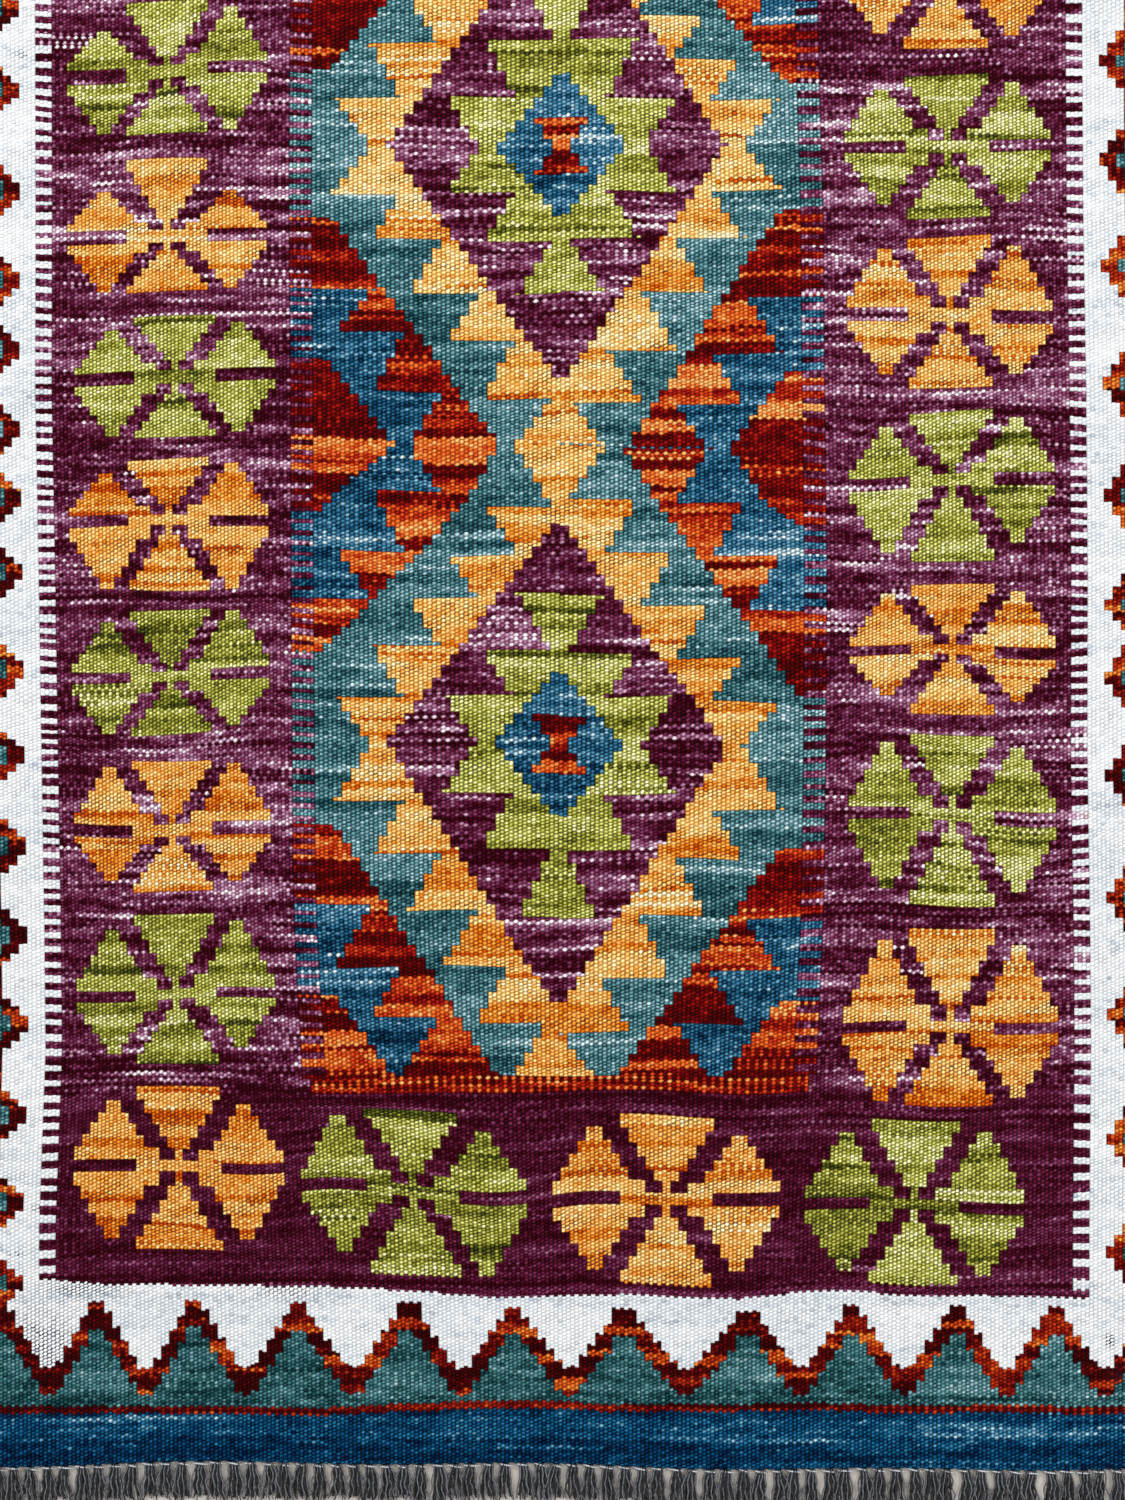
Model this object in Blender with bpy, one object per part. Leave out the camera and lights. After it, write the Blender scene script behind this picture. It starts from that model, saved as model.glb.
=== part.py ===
"""A flat-woven kilim rug: one sheet of weft-faced wool cloth and, at each end, a twined
edge row with the cut warps left as a short fringe.

Metres, +Z up. X runs across the rug and Y along its warps. The origin is on the floor,
under the middle of the whole rug. The under faces of all three pieces lie on Z = 0.
"""

import math
import random

import bmesh
import bpy

# Driving dimensions
CLOTH_WIDTH = 0.830
CLOTH_LENGTH = 1.240
CLOTH_THICKNESS = 0.0030
GAP = 0.0003  # between the cloth's edge and the row that is twined beside it
ROW_DEPTH = 0.0045  # of the twined edge row, along Y
ROW_HEIGHT = 0.0024
FRINGE_LENGTH = 0.0175  # of a lock, from the row to its tip

# The cloth's rounded edges: how far in from the outline, and how high, each ring lies
EDGE_RINGS = [
    {"inset": 0.0009, "height": 0.0},
    {"inset": 0.0, "height": 0.0009},
    {"inset": 0.0, "height": 0.0020},
]
TOP_INSET = 0.0012
COLUMNS = 22  # of the cloth's upper face
ROWS = 32
SWELL = 0.00025  # how far the upper face rises and sinks

# A hand-woven outline: each edge strays from its straight line in slow waves
EDGE_WAVES = {
    "left": [
        {"amount": 0.0016, "length": 0.71, "start": 0.10},
        {"amount": 0.0008, "length": 0.23, "start": 0.62},
    ],
    "right": [
        {"amount": 0.0014, "length": 0.83, "start": 0.45},
        {"amount": 0.0009, "length": 0.29, "start": 0.05},
    ],
    "front": [
        {"amount": 0.0022, "length": 0.76, "start": 0.46},
        {"amount": 0.0010, "length": 0.21, "start": 0.30},
    ],
    "back": [
        {"amount": 0.0018, "length": 0.88, "start": 0.80},
        {"amount": 0.0009, "length": 0.27, "start": 0.55},
    ],
}
LEAN = 0.0034  # how far the warps drift sideways over the rug's length

# The fringe: warps bunched into tufts, each of two locks that part towards their tips
TUFTS = 68
LOCKS_IN_TUFT = 2
LOCK_WIDTH = 0.0040
LOCK_PARTING = 0.0008  # between a tuft's two locks, at the row
LOCK_STEPS = [  # along a lock, as shares of its length, width, height and sideways lean
    {"along": 0.45, "width": 0.84, "height": 0.80, "lean": 0.35},
    {"along": 1.00, "width": 0.52, "height": 0.46, "lean": 1.00},
]
LOCK_SPREAD = 0.0011  # how far a lock's tip leans away from its partner
LOCK_STRAY = 0.0004
LENGTH_STRAY = 0.0028
LOCK_HEIGHT = 0.0022
SEED = 7

COLOURS = {
    "rug_cloth": {"colour": (0.10, 0.03, 0.07), "roughness": 0.95},
    "fringe": {"colour": (0.07, 0.08, 0.09), "roughness": 0.95},
}


def stray(edge, along):
    """How far an edge strays from its straight line, at a place along it."""
    return sum(
        wave["amount"] * math.sin(2 * math.pi * (along / wave["length"] + wave["start"]))
        for wave in EDGE_WAVES[edge]
    )


def laid(x, y):
    """Where a point of the straight cloth comes to lie: it shares in its edges' waves."""
    across = x / CLOTH_WIDTH + 0.5
    along = y / CLOTH_LENGTH + 0.5
    sideways = (1 - across) * stray("left", y) + across * stray("right", y)
    lengthways = (1 - along) * stray("front", x) + along * stray("back", x)
    return x + sideways - LEAN * (along - 0.5), y + lengthways


def swell(x, y):
    """The upper face's soft rise and fall."""
    return SWELL * math.sin(9.0 * x + 3.0 * y) * math.cos(7.0 * y - 4.0 * x)


def spaced(half, inset, count, index):
    """The place of a line of a grid that is drawn in from both ends by the inset."""
    reach = half - inset
    return reach * (2 * index / count - 1)


def wool(name, colour, roughness):
    material = bpy.data.materials.new(name)
    material.use_nodes = True
    shader = material.node_tree.nodes["Principled BSDF"]
    shader.inputs["Base Color"].default_value = (*colour, 1.0)
    shader.inputs["Roughness"].default_value = roughness
    shader.inputs["Metallic"].default_value = 0.0
    return material


def piece(name, mesh, material):
    """An object of this mesh, with its rounded parts shaded smooth."""
    bmesh.ops.recalc_face_normals(mesh, faces=mesh.faces)
    data = bpy.data.meshes.new(name)
    mesh.to_mesh(data)
    mesh.free()
    data.materials.append(material)
    data.shade_smooth()
    data.set_sharp_from_angle(angle=math.radians(50))
    made = bpy.data.objects.new(name, data)
    bpy.context.scene.collection.objects.link(made)
    return made


def rim_places(inset):
    """The places round a grid's rim, in order, drawn in from the outline by the inset."""
    half_width, half_length = CLOTH_WIDTH / 2, CLOTH_LENGTH / 2
    corners = (
        [(column, 0) for column in range(COLUMNS)]
        + [(COLUMNS, row) for row in range(ROWS)]
        + [(column, ROWS) for column in range(COLUMNS, 0, -1)]
        + [(0, row) for row in range(ROWS, 0, -1)]
    )
    return [
        (
            spaced(half_width, inset, COLUMNS, column),
            spaced(half_length, inset, ROWS, row),
        )
        for column, row in corners
    ]


def build_cloth(material):
    """The cloth: a flat under face, rounded edges and an upper face that swells a little."""
    mesh = bmesh.new()
    rings = []
    for ring in EDGE_RINGS:
        places = [laid(x, y) for x, y in rim_places(ring["inset"])]
        rings.append([mesh.verts.new((x, y, ring["height"])) for x, y in places])
    mesh.faces.new(rings[0])

    top = {}
    for row in range(ROWS + 1):
        for column in range(COLUMNS + 1):
            x = spaced(CLOTH_WIDTH / 2, TOP_INSET, COLUMNS, column)
            y = spaced(CLOTH_LENGTH / 2, TOP_INSET, ROWS, row)
            height = CLOTH_THICKNESS + swell(x, y)
            top[column, row] = mesh.verts.new((*laid(x, y), height))
    for row in range(ROWS):
        for column in range(COLUMNS):
            mesh.faces.new(
                (
                    top[column, row],
                    top[column + 1, row],
                    top[column + 1, row + 1],
                    top[column, row + 1],
                )
            )
    rim = (
        [top[column, 0] for column in range(COLUMNS)]
        + [top[COLUMNS, row] for row in range(ROWS)]
        + [top[column, ROWS] for column in range(COLUMNS, 0, -1)]
        + [top[0, row] for row in range(ROWS, 0, -1)]
    )
    rings.append(rim)
    for lower, upper in zip(rings, rings[1:]):
        for i in range(len(lower)):
            j = (i + 1) % len(lower)
            mesh.faces.new((lower[i], lower[j], upper[j], upper[i]))
    return piece("rug_cloth", mesh, material)


def lock_places():
    """The middle of each lock's root along the row, and which way it leans."""
    pitch = CLOTH_WIDTH / TUFTS
    step = LOCK_WIDTH + LOCK_PARTING
    places = []
    for tuft in range(TUFTS):
        middle = pitch * (tuft + 0.5) - CLOTH_WIDTH / 2
        for lock in range(LOCKS_IN_TUFT):
            side = lock - (LOCKS_IN_TUFT - 1) / 2
            places.append({"middle": middle + side * step, "side": 2 * side})
    return places


def build_fringe(name, end, material, dice):
    """A twined edge row and its locks. The end is -1 for the front and 1 for the back."""
    mesh = bmesh.new()
    edge = end * CLOTH_LENGTH / 2

    def station(x):
        """The row's four corners at a place across the rug: inner low and high, outer high and low."""
        lie_x, lie_y = laid(x, edge)
        inner = lie_y + end * GAP
        outer = inner + end * ROW_DEPTH
        corners = [
            (inner, 0.0),
            (inner, ROW_HEIGHT),
            (outer, LOCK_HEIGHT),
            (outer, 0.0),
        ]
        return [mesh.verts.new((lie_x, y, z)) for y, z in corners]

    def wall(first, second, corner):
        """One side of the row, from one of its stations to the next."""
        after = (corner + 1) % len(first)
        return mesh.faces.new((first[corner], second[corner], second[after], first[after]))

    def build_lock(left, right, side):
        """A lock of four sides from the row's outer face to its tip, level with the floor."""
        length = FRINGE_LENGTH + dice.uniform(-LENGTH_STRAY, LENGTH_STRAY)
        lean = side * LOCK_SPREAD + dice.uniform(-LOCK_STRAY, LOCK_STRAY)
        middle = (left[3].co.x + right[3].co.x) / 2
        root = (left[3].co.y + right[3].co.y) / 2
        ring = [left[3], right[3], right[2], left[2]]
        for step in LOCK_STEPS:
            x = middle + lean * step["lean"]
            y = root + end * length * step["along"]
            half = LOCK_WIDTH / 2 * step["width"]
            top = LOCK_HEIGHT * step["height"]
            corners = [(-half, 0.0), (half, 0.0), (half, top), (-half, top)]
            following = [mesh.verts.new((x + dx, y, z)) for dx, z in corners]
            for i in range(len(ring)):
                j = (i + 1) % len(ring)
                mesh.faces.new((ring[i], ring[j], following[j], following[i]))
            ring = following
        mesh.faces.new(ring)

    last = station(-CLOTH_WIDTH / 2)
    mesh.faces.new(last)
    for place in lock_places():
        left = station(place["middle"] - LOCK_WIDTH / 2)
        right = station(place["middle"] + LOCK_WIDTH / 2)
        for corner in range(4):
            wall(last, left, corner)
        for corner in (0, 1, 3):
            wall(left, right, corner)
        build_lock(left, right, place["side"])
        last = right
    closing = station(CLOTH_WIDTH / 2)
    for corner in range(4):
        wall(last, closing, corner)
    mesh.faces.new(closing)
    return piece(name, mesh, material)


def centred(pieces):
    """Moves every mesh alike, so that the whole rug's box stands over the origin."""
    corners = [vertex.co for made in pieces for vertex in made.data.vertices]
    middle_x = (min(c.x for c in corners) + max(c.x for c in corners)) / 2
    middle_y = (min(c.y for c in corners) + max(c.y for c in corners)) / 2
    for corner in corners:
        corner.x -= middle_x
        corner.y -= middle_y


def build_rug():
    for old in list(bpy.data.objects):
        bpy.data.objects.remove(old, do_unlink=True)
    cloth_wool = wool("woven wool", **COLOURS["rug_cloth"])
    fringe_wool = wool("warp wool", **COLOURS["fringe"])
    dice = random.Random(SEED)
    centred(
        [
            build_cloth(cloth_wool),
            build_fringe("fringe_front", -1, fringe_wool, dice),
            build_fringe("fringe_back", 1, fringe_wool, dice),
        ]
    )


build_rug()
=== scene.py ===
# %% [markdown]
# # A small kilim rug, woven bead by bead
#
# A kilim is a flat-woven rug. It has no pile: what you see is the weft, the yarn that runs
# from side to side, packed so tight that it hides the warps it goes over and under. Each
# place where one pass of weft goes over one warp shows as a small bead of wool.
#
# We build the rug the way the loom does. First we set the warps, then we chart which dye
# each bead takes, then we let the yarn's shade wander as the weaver works upwards, and last
# we give every bead its place. A common shortcut is to draw the pattern as a picture on a
# flat sheet, but then no edge steps from warp to warp and nothing catches the light.

import math
import random

import bpy
import numpy as np
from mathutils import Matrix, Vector


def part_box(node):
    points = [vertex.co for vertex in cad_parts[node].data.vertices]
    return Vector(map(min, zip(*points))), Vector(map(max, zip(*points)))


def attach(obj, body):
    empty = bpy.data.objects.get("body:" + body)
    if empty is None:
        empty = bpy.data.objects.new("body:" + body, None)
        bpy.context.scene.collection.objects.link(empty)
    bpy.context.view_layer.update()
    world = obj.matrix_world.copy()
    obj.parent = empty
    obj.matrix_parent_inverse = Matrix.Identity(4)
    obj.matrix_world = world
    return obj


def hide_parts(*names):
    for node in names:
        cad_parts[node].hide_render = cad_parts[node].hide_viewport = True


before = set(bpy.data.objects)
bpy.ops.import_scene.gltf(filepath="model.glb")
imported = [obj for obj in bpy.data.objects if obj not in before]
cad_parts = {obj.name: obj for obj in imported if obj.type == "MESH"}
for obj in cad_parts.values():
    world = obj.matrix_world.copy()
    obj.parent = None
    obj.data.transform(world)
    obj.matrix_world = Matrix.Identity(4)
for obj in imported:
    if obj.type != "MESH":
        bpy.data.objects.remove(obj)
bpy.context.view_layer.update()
MM = 0.001

# %% [markdown]
# ## How this cloth lies
#
# No hand-woven rug is a true rectangle. The weaver pulls some passes tighter than others,
# so each edge strays in slow waves, and a weft pulled to one side makes the warps lean.
# The part we replace already has those waves, so we lay our beads out by the same rule.

# %% The cloth's size and its uneven lay
CLOTH_WIDTH = 0.830
CLOTH_LENGTH = 1.240
CLOTH_THICKNESS = 0.0030
SWELL = 0.00025
SWELL_RATES = (9.0, 3.0, 7.0, 4.0)  # radians a metre
LEAN = 0.0034  # metres that the warps drift sideways over the rug's length
EDGE_WAVES = {
    "left": [(0.0016, 0.71, 0.10), (0.0008, 0.23, 0.62)],
    "right": [(0.0014, 0.83, 0.45), (0.0009, 0.29, 0.05)],
    "front": [(0.0022, 0.76, 0.46), (0.0010, 0.21, 0.30)],
    "back": [(0.0018, 0.88, 0.80), (0.0009, 0.27, 0.55)],
}


def stray(edge, along):
    """How far an edge strays, from its waves of amount, length and start."""
    return sum(
        amount * np.sin(2 * math.pi * (along / length + start))
        for amount, length, start in EDGE_WAVES[edge]
    )


def lie(x, y):
    """Where a point of the straight cloth lies before the rug is centred, in metres."""
    across = x / CLOTH_WIDTH + 0.5
    along = y / CLOTH_LENGTH + 0.5
    sideways = (1 - across) * stray("left", y) + across * stray("right", y)
    lengthways = (1 - along) * stray("front", x) + along * stray("back", x)
    return x + sideways - LEAN * (along - 0.5), y + lengthways


def swell(x, y):
    """The soft rise and fall of the cloth on the floor."""
    a, b, c, d = SWELL_RATES
    return SWELL * np.sin(a * x + b * y) * np.cos(c * y - d * x)


RIM_ROWS = 33  # places along a side of the plain part's outline, and along an end
RIM_COLUMNS = 23
side_y = np.linspace(-0.5, 0.5, RIM_ROWS) * CLOTH_LENGTH
end_x = np.linspace(-0.5, 0.5, RIM_COLUMNS) * CLOTH_WIDTH
rim_x = lie(np.full(RIM_ROWS, -CLOTH_WIDTH / 2), side_y)[0]
rim_y = lie(end_x, np.full(RIM_COLUMNS, -CLOTH_LENGTH / 2))[1]
cloth_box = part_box("rug_cloth")
SHIFT_X = cloth_box[0][0] - rim_x.min()
SHIFT_Y = cloth_box[0][1] - rim_y.min()


def laid(x, y):
    """Where a point of the straight cloth lies on the floor, in metres."""
    lie_x, lie_y = lie(x, y)
    return lie_x + SHIFT_X, lie_y + SHIFT_Y


print("the rug is centred by", round(SHIFT_X / MM, 2), round(SHIFT_Y / MM, 2), "mm")

# %% [markdown]
# ## The loom: warps and wefts
#
# The warps are the dark plied strings that run the whole length and end as the fringe.
# They were spaced evenly at the start, but the narrow motifs drew them together in the
# side fields and let them spread in the middle, and each group drifts a little as the
# weaving goes on. The pattern turns round two warps at a time, so we count in pairs. We
# know where a few pairs stand at some heights, and blend between those. The wefts are
# beaten down to a little over 1.1 mm a pass.

# %% Warp and weft places
WARPS = 332
PAIRS = WARPS // 2
WEFTS = 1100
WEFT_PITCH = CLOTH_LENGTH / MM / WEFTS
HALF_WIDTH = CLOTH_WIDTH / MM / 2
HALF_LENGTH = CLOTH_LENGTH / MM / 2
COMBS = {"left": (19, 21), "right": (145, 147)}  # pairs from the left edge
PANEL_COMBS = {"left": (53, 56), "right": (110, 113)}
MIDDLE_PAIR = 83
COMB_HALF = 5.0  # mm
PANEL_COMB_HALF = 6.8
HEIGHTS = [-620, -476, -366, -294, -184, -75, 35, 145, 254, 620]  # mm along the rug
DRIFT = {  # mm across the rug, at those heights
    "left comb": [-313.3, -313.3, -309.3, -310.0, -311.8, -313.5, -315.6, -315.3, -315.6, -315.6],
    "panel left": [-156, -156, -156.0, -156.8, -157.7, -158.4, -158.6, -159.6, -159.0, -159],
    "middle": [-3.3, -3.3, -3.2, -2.7, -2.2, -1.7, -1.1, -0.6, -0.4, -0.4],
    "panel right": [150, 150, 150.3, 151.9, 153.4, 154.0, 152.6, 151.6, 148.5, 148],
    "right comb": [315.4, 315.4, 316.4, 315.9, 314.2, 314.4, 313.4, 311.6, 311.0, 311],
}
EVEN_FROM = 245.0  # mm from the middle, where the panel's warps begin to even out
EVEN_AT = 579.0
EDGE_CALM = 170.0  # mm over which the rows straighten, away from an end


def smooth(t):
    """0 below 0 and 1 above 1, with a soft change between."""
    t = np.clip(t, 0, 1)
    return t * t * (3 - 2 * t)


def warp_place(pair, y):
    """The place across the rug, in mm, of a count of warp pairs at a distance y along it."""
    even = 2 * HALF_WIDTH / PAIRS
    ease = smooth((np.abs(y) - EVEN_FROM) / (EVEN_AT - EVEN_FROM))
    at = {name: np.interp(y, HEIGHTS, places) for name, places in DRIFT.items()}
    for side, (first, last) in PANEL_COMBS.items():
        name = f"panel {side}"
        at[name] += (((first + last) / 2 - PAIRS / 2) * even - at[name]) * ease
    comb_pairs = PANEL_COMBS["left"][1] - PANEL_COMBS["left"][0]  # as many as at the right
    even_reach = comb_pairs / 2 * even
    reach = PANEL_COMB_HALF + (even_reach - PANEL_COMB_HALF) * ease
    anchors = [
        (0, laid(-CLOTH_WIDTH / 2, y * MM)[0] / MM),
        (COMBS["left"][0], at["left comb"] - COMB_HALF),
        (COMBS["left"][1], at["left comb"] + COMB_HALF),
        (PANEL_COMBS["left"][0], at["panel left"] - reach),
        (PANEL_COMBS["left"][1], at["panel left"] + reach),
        (MIDDLE_PAIR, at["middle"] * (1 - ease)),
        (PANEL_COMBS["right"][0], at["panel right"] - reach),
        (PANEL_COMBS["right"][1], at["panel right"] + reach),
        (COMBS["right"][0], at["right comb"] - COMB_HALF),
        (COMBS["right"][1], at["right comb"] + COMB_HALF),
        (PAIRS, laid(CLOTH_WIDTH / 2, y * MM)[0] / MM),
    ]
    place = np.zeros(np.broadcast(pair, y).shape)
    for (first, start), (last, stop) in zip(anchors, anchors[1:]):
        share = (pair - first) / (last - first)
        place = np.where((share >= 0) & (share <= 1), start + (stop - start) * share, place)
    return place


def row_place(x, y):
    """Where a row lies, in mm. Near an end it follows the end's own uneven line."""
    front = laid(x * MM, -CLOTH_LENGTH / 2)[1] / MM + HALF_LENGTH
    back = laid(x * MM, CLOTH_LENGTH / 2)[1] / MM - HALF_LENGTH
    near_front = smooth((EDGE_CALM - HALF_LENGTH - y) / EDGE_CALM)
    near_back = smooth((EDGE_CALM - HALF_LENGTH + y) / EDGE_CALM)
    return y + front * near_front + back * near_back


def weft_place(weft):
    """The distance along the rug, in mm, of the middle of a weft."""
    return (weft + 0.5) * WEFT_PITCH - HALF_LENGTH


pair_count = np.arange(PAIRS)[:, None] + 0.5
STRAIGHT_Y = weft_place(np.arange(WEFTS))[None, :] + np.zeros((PAIRS, 1))
PAIR_X = warp_place(pair_count, STRAIGHT_Y)
ROW_Y = row_place(PAIR_X, STRAIGHT_Y)
PAIR_NUMBER = np.arange(PAIRS)[:, None] + np.zeros((1, WEFTS), int)
print(WARPS, "warps and", WEFTS, "wefts,", WARPS * WEFTS // 2, "beads")

# %% [markdown]
# ## The chart
#
# A weaver works from memory, counting pairs and rows. Our chart does the same: every motif
# is a rule on two grids, the place of each pair and the height of each row. Because the
# rule is tested once for each pair, slanting edges turn into stairs without more work.
#
# The dyes are numbered, and each motif writes its number over what was there.

# %% The dyes, and a chart that starts as plain white
DYES = [
    "white",
    "plum",
    "apricot",
    "green",
    "rust",
    "zigzag rust",
    "teal",
    "border teal",
    "blue",
    "end blue",
]
NUMBER = {name: i for i, name in enumerate(DYES)}
chart = np.full((PAIRS, WEFTS), NUMBER["white"])


def paint(where, dye):
    chart[where] = NUMBER[dye]


def covered(dye):
    """How much of the rug a dye covers, in per cent."""
    return round(100 * float((chart == NUMBER[dye]).mean()), 1)


print(len(DYES), "dyes")

# %% [markdown]
# ### The border
#
# Outside comes a plain blue band, then a thin rust line, a teal ground and a zigzag band
# two steps thick. The zigzag's peaks were never measured, only guessed by eye as the cloth
# grew, so no two are the same distance apart, and we list their places.

# %% Border sizes in mm, and its places
LINE_X = (362.7, 367.2)  # from the middle, where the thin line begins and ends
LINE_Y = (581.9, 586.3)
LINE_AT = [-336, -202, -142, -117, -70, -20, 30, 100, 150, 200, 260, 320]  # mm across
LINE_DROP = [1.2, 1.3, 2.4, 0.8, -1.4, -2.4, -0.2, 0.0, -1.4, 0.6, 0.6, 1.5]  # mm towards the end
PEAKS = [
    (-399.0, -521),
    (-341, -521),
    (-283.0, -520.3),
    (-223.4, -518.4),
    (-161.4, -519.7),
    (-93.3, -520.3),
    (-30.1, -522.1),
    (37.4, -523.9),
    (112.8, -524.5),
    (176.6, -522.1),
    (239.2, -522.7),
    (299.4, -523.3),
    (360, -524),
    (418.0, -524),
]
PEAK_FLAT = 5.2
VALLEY_FLAT = 3.6
ZIGZAG_VALLEY = -559.5
ZIGZAG_THICK = 16.8
LEFT_TIPS = [-508.1, -460.1, -406.0, -351.2, -297.1, -243.0, -187.1, -136.0, -75.2, -30.2]
LEFT_TIPS += [11.7, 61.0, 101.1, 157.0, 217.8, 267.1, 325, 381, 437, 495]
RIGHT_TIPS = [-489.9, -419.3, -347.0, -275.2, -199.2, -140.3, -94.1, -30.2, 39.1, 110.8]
RIGHT_TIPS += [174.1, 236.1, 295, 352, 410, 468, 511]
SIDE_TIP = {"left": 17, "right": 149}  # the pair at which a tip begins
SIDE_DEPTH = 3  # pairs
SIDE_THICK = 2
SIDE_STEPS = {"left": (5.4, 4.8), "right": (3.8, 7.6)}  # half a tip's height, and a step's
STEP_WIDE = 5.1  # of two warps


def end_zigzag(x, peaks):
    """The height of the zigzag's white edge at each place across the rug."""
    height = np.full_like(x, -np.inf)
    for before, peak, after in zip(peaks, peaks[1:], peaks[2:]):
        for side, neighbour in ((-1, before), (1, after)):
            half = abs(neighbour[0] - peak[0]) / 2
            away = (x - peak[0]) * side
            past_flat = away - PEAK_FLAT + STEP_WIDE / 2
            slope = past_flat / (half - PEAK_FLAT - VALLEY_FLAT + STEP_WIDE / 2)
            depth = peak[1] - ZIGZAG_VALLEY
            drop = np.where(away > PEAK_FLAT, depth * np.clip(slope, 0, 1), 0)
            here = (away >= 0) & (away <= half + 1)
            height = np.where(here, np.maximum(height, peak[1] - drop), height)
    return height


def side_zigzag(y, tips, flat, high):
    """How many pairs the zigzag's white edge draws back from its tips, at each height."""
    away = np.min(np.abs(y[..., None] - np.array(tips)), axis=-1)
    steps = np.where(away > flat, np.floor((away - flat) / high) + 1, 0)
    return np.minimum(steps, SIDE_DEPTH)


front_edge = end_zigzag(PAIR_X, PEAKS)
back_edge = -end_zigzag(-PAIR_X, PEAKS)
left_edge = SIDE_TIP["left"] - side_zigzag(ROW_Y, LEFT_TIPS, *SIDE_STEPS["left"])
right_edge = SIDE_TIP["right"] + side_zigzag(ROW_Y, RIGHT_TIPS, *SIDE_STEPS["right"])

paint(
    (ROW_Y < front_edge)
    | (ROW_Y > back_edge)
    | (PAIR_NUMBER < left_edge)
    | (PAIR_NUMBER >= right_edge),
    "zigzag rust",
)
paint(
    (ROW_Y < front_edge - ZIGZAG_THICK)
    | (ROW_Y > back_edge + ZIGZAG_THICK)
    | (PAIR_NUMBER < left_edge - SIDE_THICK)
    | (PAIR_NUMBER >= right_edge + SIDE_THICK),
    "border teal",
)
from_left = np.where(ROW_Y < 0, PAIR_X, -PAIR_X)
line_y = np.abs(ROW_Y) - np.interp(from_left, LINE_AT, LINE_DROP)
paint((np.abs(PAIR_X) > LINE_X[0]) | (line_y > LINE_Y[0]), "zigzag rust")
paint((np.abs(PAIR_X) > LINE_X[1]) | (line_y > LINE_Y[1]), "end blue")
print("border teal covers", covered("border teal"), "% and the outer blue", covered("end blue"), "%")

# %% [markdown]
# ### The plum field and its combs
#
# Where two colours meet along a warp, the loom leaves a slit. Weavers close long slits by
# letting the colours take turns round a few shared warps. That makes the comb of teeth at
# both sides of the field, and a finer one at both sides of the middle panel.

# %% The field, its lower edge and the combs
FIELD_EDGE_X = [-307, -281, -184, -38, 84, 108, 157, 302]
FIELD_EDGE_Y = [-505.5, -508.5, -510.3, -515.4, -515.6, -516.4, -514.2, -517.2]
FIELD_TEETH = {  # a tooth's pitch at the front and higher up, its share of that, and a seed
    "left": (9.4, 7.6, 0.5, 3),
    "right": (10.4, 8.2, 0.56, 4),
}
FINER_FROM = -440  # mm along the rug, where the pitch begins to shrink
FINER_OVER = 240
PITCH_STRAY = (0.93, 1.07)
TOOTH_STRAY = (-0.2, 0.6)  # wefts
END_TOOTH = 5.2  # mm, the tooth that ends the comb, and the notch beside it
NOTCH = 4.2


def teeth(pitch_front, pitch_middle, share, seed):
    """True for the rows where a tooth lies. The pitch shrinks from the front upwards."""
    chance = random.Random(seed)
    rows = np.zeros(WEFTS, bool)
    y = -HALF_LENGTH
    while y < HALF_LENGTH:
        ease = min(1, max(0, (y - FINER_FROM) / FINER_OVER))
        pitch = pitch_front + (pitch_middle - pitch_front) * ease
        pitch *= chance.uniform(*PITCH_STRAY)
        first = round((y + HALF_LENGTH) / WEFT_PITCH)
        wefts = round(pitch * share / WEFT_PITCH + chance.uniform(*TOOTH_STRAY))
        rows[first : first + wefts] = True
        y += pitch
    return rows


field_bottom = np.interp(PAIR_X, FIELD_EDGE_X, FIELD_EDGE_Y)
field_top = -np.interp(-PAIR_X, FIELD_EDGE_X, FIELD_EDGE_Y)
in_length = (ROW_Y > field_bottom) & (ROW_Y < field_top)
paint(in_length & (PAIR_NUMBER >= COMBS["left"][1]) & (PAIR_NUMBER < COMBS["right"][0]), "plum")
from_end = np.minimum(ROW_Y - field_bottom, field_top - ROW_Y)
for side, (first, last) in COMBS.items():
    rows = teeth(*FIELD_TEETH[side])[None, :]
    end_tooth = (from_end > 0) & (from_end < END_TOOTH)
    comb = end_tooth | (rows & (from_end > END_TOOTH + NOTCH))
    paint(comb & (PAIR_NUMBER >= first) & (PAIR_NUMBER < last), "plum")
print("the plum field covers", covered("plum"), "%")

# %% [markdown]
# ### The wheels
#
# Round the panel stands a ring of wheels, each of two upright petals and two side petals
# with a slit. Each petal grows by one pair at both sides from level to level. The side
# petals often start late or stop early, for the weaver filled the rows that were left, and
# many wheels tilt, because the rows under them sloped.

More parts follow.
